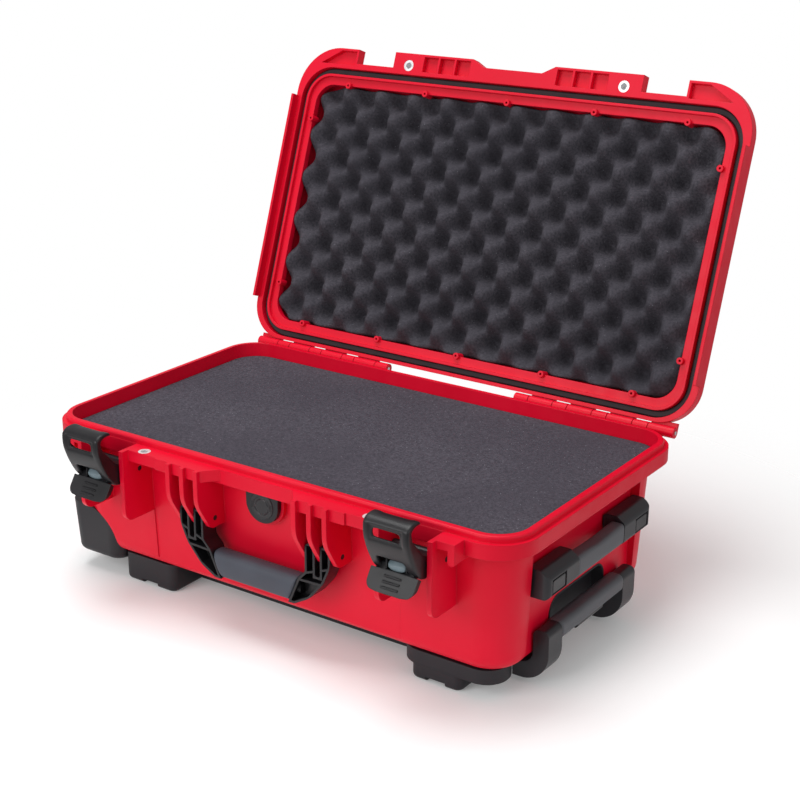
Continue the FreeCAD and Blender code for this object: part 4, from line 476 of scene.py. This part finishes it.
def crate_grid():
    """Block with a waved face: the face drops from the crest by the depth times a power of half of
    one less the product of two cosines, shallower and rounded at its rim; the back leans in with
    the dome."""
    edge = rim(crate_half_x, crate_half_y, crate_corner, crate_points)
    face = np.linspace(0, 1, 110)[:, None]
    x, y = face * edge[None, :, 0], face * edge[None, :, 1]
    wave = np.cos(2 * np.pi * (x - crate_shift_x) / crate_pitch_x)
    wave = wave * np.cos(2 * np.pi * (y - crate_shift_y) / crate_pitch_y)
    depth = crate_depth - crate_ease * np.clip((face - crate_ease_from) / crate_ease_run, 0, 1)
    z = crate_crest + depth * ((1 - wave) / 2) ** crate_power + rolled(face, crate_roll_from, crate_roll)
    rim_z = z[-1]
    rows = [np.stack([x, y, z], -1)]
    for inset, height in crate_rings:
        corner = crate_corner + crate_corner_gain * inset
        ring = rim(crate_half_x - inset, crate_half_y - inset, corner, crate_points)
        ring_z = np.maximum(rim_z, height) if height == crate_shoulder else height + 0 * rim_z
        rows.append(np.column_stack([ring, ring_z])[None])
    rows.append(np.column_stack([0 * edge, crate_back + 0 * rim_z])[None])
    return np.concatenate(rows)


crate = skin("lid_foam_crate", opened(crate_grid()), across=True)
seat(crate, "lid", "foam_lid", crate_skin, "lid_foam")

# Front carry handle: a black nylon frame with two forked arms, and a soft grey grip over its bar.
# The arms turn on steel pins between the ears of the tub.
dress(black_plastic, "front_handle_frame")


def soft_grip(name, dark, light, smooth, rough):
    """Soft plastic between two shades and two kinds of gloss, in slow clouds under a fine skin."""
    made, wire, shader = finish(name, Specular_IOR_Level=0.4)
    cloud = wire.grain(25.0, 3.0)
    tone = cloud.span(0.3, 0.7).blend(dark, light)
    feed(wire, shader, Base_Color=tone, Roughness=cloud.span(0.3, 0.7, smooth, rough),
         Normal=relief(wire, wire.grain(1000.0, 2.0), 0.0001))
    return made


def bar_grid(half_length, middle, half_deep, half_tall, square, taper, slant, dip):
    """Rounded bar along X: each slice is an oval with power square, closed by a quarter-round of
    taper millimetres; its ends lean out by slant at the top, and dip hollows its upper side."""
    step = np.linspace(-1, 1, 81)[:, None]
    turn = np.linspace(0, 2 * np.pi, 64, endpoint=False)[None, :]
    run, dip_run = step * half_length, 0.88
    left = np.clip((half_length - np.abs(run)) / taper, 0, 1)
    scale = 1 - (1 - np.sqrt(1 - (1 - left) ** 2)) * taper / half_deep
    cosine, sine = np.cos(turn), np.sin(turn)
    y = middle[0] + scale * half_deep * squared(cosine, square)
    rise = scale * half_tall * squared(sine, square)
    hollow = dip * np.cos(np.pi / 2 * np.clip(step / dip_run, -1, 1)) ** 2 * np.clip(sine, 0, 1)
    return np.stack([run + slant * step * rise / half_tall, y, middle[1] + rise - hollow], -1)


def capped(grid):
    """The same tube with each end closed to its middle."""
    first = np.repeat(grid[:1].mean(1, keepdims=True), grid.shape[1], 1)
    last = np.repeat(grid[-1:].mean(1, keepdims=True), grid.shape[1], 1)
    return np.concatenate([first, grid, last])


grip_grey = soft_grip("soft_grey_grip", tint(60, 63, 73), tint(69, 73, 83), 0.5, 0.62)
front_bar = bar_grid(half_length=45.2, middle=(-155.6, 70.0), half_deep=10.4, half_tall=13.0,
                     square=0.7, taper=2.5, slant=5.4, dip=0.0)
grip = skin("front_grip_sleeve", capped(front_bar), across=True)
seat(grip, "front_handle", "grip_grey", grip_grey, "front_handle_grip")

# Side carry handle: two black end blocks on pins, a bar between them and a softer grip.
# Each block carries a flush inlay where the pin is driven in.
# The end blocks and the pull handle's caps get a lighter copy of the same black nylon: painted light, as
# if lit from the right.
lit_block_plastic = satin("block_black_lit", tint(34, 33, 37), tint(43, 41, 46))
dress(lit_block_plastic, "side_handle_frame")
cap_middle_y, cap_middle_z, cap_face_x = 78.0, 105.75, 269.7
cap_half_y, cap_half_z, cap_back_x, cap_square = 11.0, 5.9, 268.4, 0.22
cap_roll, cap_roll_from = 0.5, 0.93


def cap_grid():
    """Inlay along its outline, share by angle: a squared oval with a flat face that rolls over at the
    rim, then a short wall to the seat behind it."""
    share = np.linspace(0, 1, 20)[:, None]
    turn = np.linspace(0, 2 * np.pi, 120, endpoint=False)[None, :]
    y = cap_half_y * share * squared(np.cos(turn), cap_square)
    z = cap_middle_z + cap_half_z * share * squared(np.sin(turn), cap_square)
    face_x = cap_face_x - rolled(share, cap_roll_from, cap_roll) + 0 * turn
    face = np.stack([face_x, y, z], -1)
    edge = np.stack([cap_back_x + 0 * y[-1:], y[-1:], z[-1:]], -1)
    centre = np.stack([cap_back_x + 0 * y[-1:], 0 * y[-1:], cap_middle_z + 0 * z[-1:]], -1)
    return np.concatenate([face, edge, centre])


caps = np.concatenate([cap_grid() + (0, sign * cap_middle_y, 0) for sign in (-1, 1)])
joined = np.ones((len(caps) - 1, caps.shape[1]), bool)
joined[len(caps) // 2 - 1] = False
side_caps = skin("side_cap_inlays", caps, across=True, kept=joined)
seat(side_caps, "side_handle", "dark_plastic", dark_plastic, "side_handle_caps")


def turned(grid):
    """The same bar, a quarter turn round: along Y, on the right end of the case."""
    return np.stack([-grid[..., 1], grid[..., 0], grid[..., 2]], -1)


grip_black = soft_grip("soft_black_grip", tint(74, 75, 80), tint(86, 86, 91), 0.42, 0.55)
side_bar = bar_grid(half_length=42.95, middle=(-262.5, 106.75), half_deep=7.5, half_tall=10.25,
                    square=0.42, taper=0.6, slant=0.0, dip=1.4)
side_grip = skin("side_grip_sleeve", capped(turned(side_bar)), across=True)
seat(side_grip, "side_handle", "grip_black", grip_black, "side_handle_grip")

# Pull handle: curved black end caps on the inner tubes, a soft grip over a steel core and a
# squeeze bar under it that frees the tubes.
dress(lit_block_plastic, "pull_end_caps")
dress(dark_plastic, "pull_release")
pull_bar = bar_grid(half_length=58.0, middle=(-256.0, 49.3), half_deep=8.6, half_tall=8.7,
                    square=0.62, taper=1.2, slant=0.0, dip=0.0)
pull_grip = skin("pull_grip_sleeve", capped(turned(pull_bar)), across=True)
seat(pull_grip, "pull_handle", "grip_black", grip_black, "pull_grip")

# Draw latches: black nylon levers between the ribs, each with a claw that hooks over the lid,
# and a pale grey safety button in the lever's face.
dress(black_plastic, "latch_lever_left", "latch_lever_right")
latch_x, claw_pin_y, claw_pin_z = 175.0, -176.0, 140.0
claw_thick, claw_sunk, claw_lip = 2.8, 1.1, 0.8
slot_half, frame_half, leg_half = 14, 17, 20
lip_rows, frame_rows, slot_rows, notch_from, below_from = 2, (6, 10), (7, 8), 14, 16
# Side view of the claw from its pin, out and up, hook first: the front line and the cheeks' back edge.
claw_front = [(9.0, 42.4), (12.0, 44.0), (18.5, 44.1), (22.8, 43.0), (25.4, 40.8), (26.3, 39.8),
              (26.5, 38.8), (26.8, 36.2), (26.8, 32.0), (26.5, 28.0), (25.8, 24.9), (25.4, 23.9),
              (23.4, 17.5), (20.2, 10.3), (19.5, 9.0), (16.0, 2.0), (12.0, -4.0), (8.0, -7.6),
              (3.5, -9.8), (-1.5, -10.6)]
claw_back = [(8.6, 41.6), (11.0, 42.2), (15.5, 41.8), (18.5, 41.0), (20.6, 39.6), (21.3, 38.8),
             (21.7, 38.0), (22.0, 35.6), (20.8, 31.0), (18.0, 27.0), (14.6, 23.6), (13.6, 22.6),
             (9.0, 17.0), (4.0, 12.2), (3.0, 11.4), (-3.5, 9.0), (-7.4, 6.2), (-8.8, 2.2),
             (-8.6, -2.8), (-6.2, -7.0)]
# Half of the claw across, from a cheek to the middle: place and share of the way to the front line.
claw_across = [(21.6, 0.0), (21.6, 0.35), (21.6, 0.7), (21.6, 0.9), (21.4, 0.98), (20.4, 1.0),
               (17.8, 1.0), (16.8, 1.0), (13.6, 1.0), (7.0, 1.0), (0.0, 1.0)]


def claw_grid(middle):
    """Bent plate, its row along the side view and its column across: out and up run from the back
    edge of a cheek, by share, to the front line, and the plate is sunk by a step round its slot."""
    front, back, half = np.array(claw_front), np.array(claw_back), np.array(claw_across)
    across, share = np.vstack([half * (-1, 1), half[-2::-1]]).T
    spot = back[:, None] + share[None, :, None] * (front - back)[:, None]
    rows = np.arange(len(front))[:, None]
    framed = (rows >= frame_rows[0]) & (rows <= frame_rows[1])
    sunk = claw_sunk * framed * (np.abs(across) < frame_half)
    lip = claw_lip * (rows < lip_rows) * (np.abs(across) < slot_half)
    x = middle + across[None, :] + 0 * rows
    return np.stack([x, claw_pin_y - spot[..., 0] + sunk, claw_pin_z + spot[..., 1] - lip], -1)


def claw_cells():
    """Cells of the claw that stay: all but the slot, the notch and the plate below the notch's legs."""
    half = np.array(claw_across)[:, 0]
    across = np.abs(np.concatenate([-half, half[-2::-1]]))
    middle = np.maximum(across[:-1], across[1:])[None, :]
    rows = np.arange(len(claw_front) - 1)[:, None]
    slot = (rows >= slot_rows[0]) & (rows <= slot_rows[1]) & (middle < slot_half)
    notch = (rows >= notch_from) & (middle < slot_half)
    below = (rows >= below_from) & (middle < leg_half)
    return ~(slot | notch | below)


def rounded_plate(piece, thick, levels):
    """Thickness to both sides of a surface, then smooth rounding of all its edges."""
    wall = piece.modifiers.new("wall", "SOLIDIFY")
    wall.thickness = thick * MM
    wall.offset = 0.0
    smooth = piece.modifiers.new("rounding", "SUBSURF")
    smooth.levels = levels
    smooth.render_levels = levels


for end, sign in (("left", -1), ("right", 1)):
    claw = skin("claw_" + end + "_plate", claw_grid(sign * latch_x), kept=claw_cells())
    rounded_plate(claw, claw_thick, 2)
    seat(claw, "claw_" + end, "black_plastic", black_plastic, "latch_claw_" + end)

button_grey, wire, shader = finish("pale_button", Specular_IOR_Level=0.5)
cloud = wire.grain(90.0, 2.0)
tone = cloud.span(0.3, 0.7).blend(tint(106, 122, 129), tint(122, 138, 146))
feed(wire, shader, Base_Color=tone, Roughness=cloud.span(0.3, 0.7, 0.35, 0.45),
     Normal=relief(wire, wire.grain(900.0, 2.0), 0.00005, round_edges(wire, 0.001)))
button_half_x, button_half_z, button_z = 9.0, 4.5, 138.0
button_face_y, button_back_y, button_square = -188.4, -182.7, 0.6
brow_from, brow_lean, chin_from, chin_lean = 0.6, 0.85, 2.0, 0.3
button_bulge, button_roll, button_roll_from = 0.02, 0.8, 0.86


def button_grid(middle):
    """Domed key, share of its outline by angle: an oval with squared corners, its face leaning back
    in a facet above a crease, less so at its chin, and rolled over at the rim."""
    share = np.linspace(0, 1, 24)[:, None]
    turn = np.linspace(0, 2 * np.pi, 96, endpoint=False)[None, :]
    x = button_half_x * share * squared(np.cos(turn), button_square)
    z = button_half_z * share * squared(np.sin(turn), button_square)
    back = brow_lean * np.clip(z - brow_from, 0, None) + chin_lean * np.clip(-z - chin_from, 0, None)
    back = back + button_bulge * x ** 2 + rolled(share, button_roll_from, button_roll)
    face = np.stack([middle + x, button_face_y + back, button_z + z], -1)
    edge = np.stack([middle + x[-1:], button_back_y + 0 * x[-1:], button_z + z[-1:]], -1)
    centre = np.stack([middle + 0 * x[-1:], button_back_y + 0 * x[-1:], button_z + 0 * z[-1:]], -1)
    return np.concatenate([face, edge, centre])


for end, sign in (("left", -1), ("right", 1)):
    button = skin("button_" + end + "_key", button_grid(sign * latch_x), across=True)
    seat(button, "button_" + end, "button_grey", button_grey, "latch_button_" + end)

# Studio: a pale floor that fades into a white backdrop, soft lamps from above, the front and the
# right, and a camera at the photograph's place.
bpy.context.scene.view_settings.view_transform = "Standard"
floor_half = 6000.0
floor_line = np.linspace(-floor_half, floor_half, 9)
floor_grid = np.stack(np.meshgrid(floor_line, floor_line, indexing="ij"), -1)
floor = skin("studio_floor", np.dstack([floor_grid, np.zeros(floor_grid.shape[:2])]))
paper, wire, shader = finish("white_paper", Roughness=0.9, Specular_IOR_Level=0.1,
                             Emission_Strength=0.12)
soft = wire.grain(1.5, 2.0)
tone = soft.span(0.3, 0.7).blend((0.9, 0.9, 0.9, 1.0), (0.93, 0.93, 0.93, 1.0))
away = wire.add("VectorMath", {"operation": "LENGTH"}, {0: wire.add("TexCoord", out=3)}, out=1)
feed(wire, shader, Base_Color=tone, Alpha=away.span(0.3, 0.68, 1.0, 0.0))
floor.data.materials.append(paper)
floor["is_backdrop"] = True

world = bpy.data.worlds.new("white_room")
bpy.context.scene.world = world
world.use_nodes = True
room = Wire(world.node_tree)
glow = world.node_tree.nodes["Background"]
glow.inputs["Color"].default_value = (1.0, 1.0, 1.0, 1.0)
seen = room.add("LightPath", out=0)
feed(room, glow, Strength=seen.span(0.0, 1.0, 0.42, 1.0))
lamp_aim = (0.0, 0.0, 0.15)


def lamp(name, place, size, watts):
    """A square soft lamp, in metres and watts, turned to the case's middle."""
    light = bpy.data.lights.new(name, "AREA")
    light.size = size
    light.energy = watts
    made = bpy.data.objects.new(name, light)
    bpy.context.scene.collection.objects.link(made)
    made.location = place
    way = Vector(lamp_aim) - Vector(place)
    made.rotation_mode = "QUATERNION"
    made.rotation_quaternion = way.to_track_quat("-Z", "Y")


lamp("lamp_top", (-0.35, -0.1, 2.2), 1.4, 31.0)
lamp("lamp_front", (-0.6, -2.2, 1.1), 1.6, 28.0)
lamp("lamp_right", (2.3, -0.3, 1.0), 1.4, 9.0)

eye = bpy.data.cameras.new("photo_camera")
eye.lens = 70.62
eye.sensor_width = 36.0
camera = bpy.data.objects.new("photo_camera", eye)
bpy.context.scene.collection.objects.link(camera)
camera.location = (0.8498, -1.1556, 0.7073)
look = Vector((0.04849, 0.0, 0.20439)) - camera.location
camera.rotation_mode = "QUATERNION"
camera_roll = Quaternion((0, 0, 1), math.radians(0.169))
camera.rotation_quaternion = look.to_track_quat("-Z", "Y") @ camera_roll
bpy.context.scene.camera = camera

low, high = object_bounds()
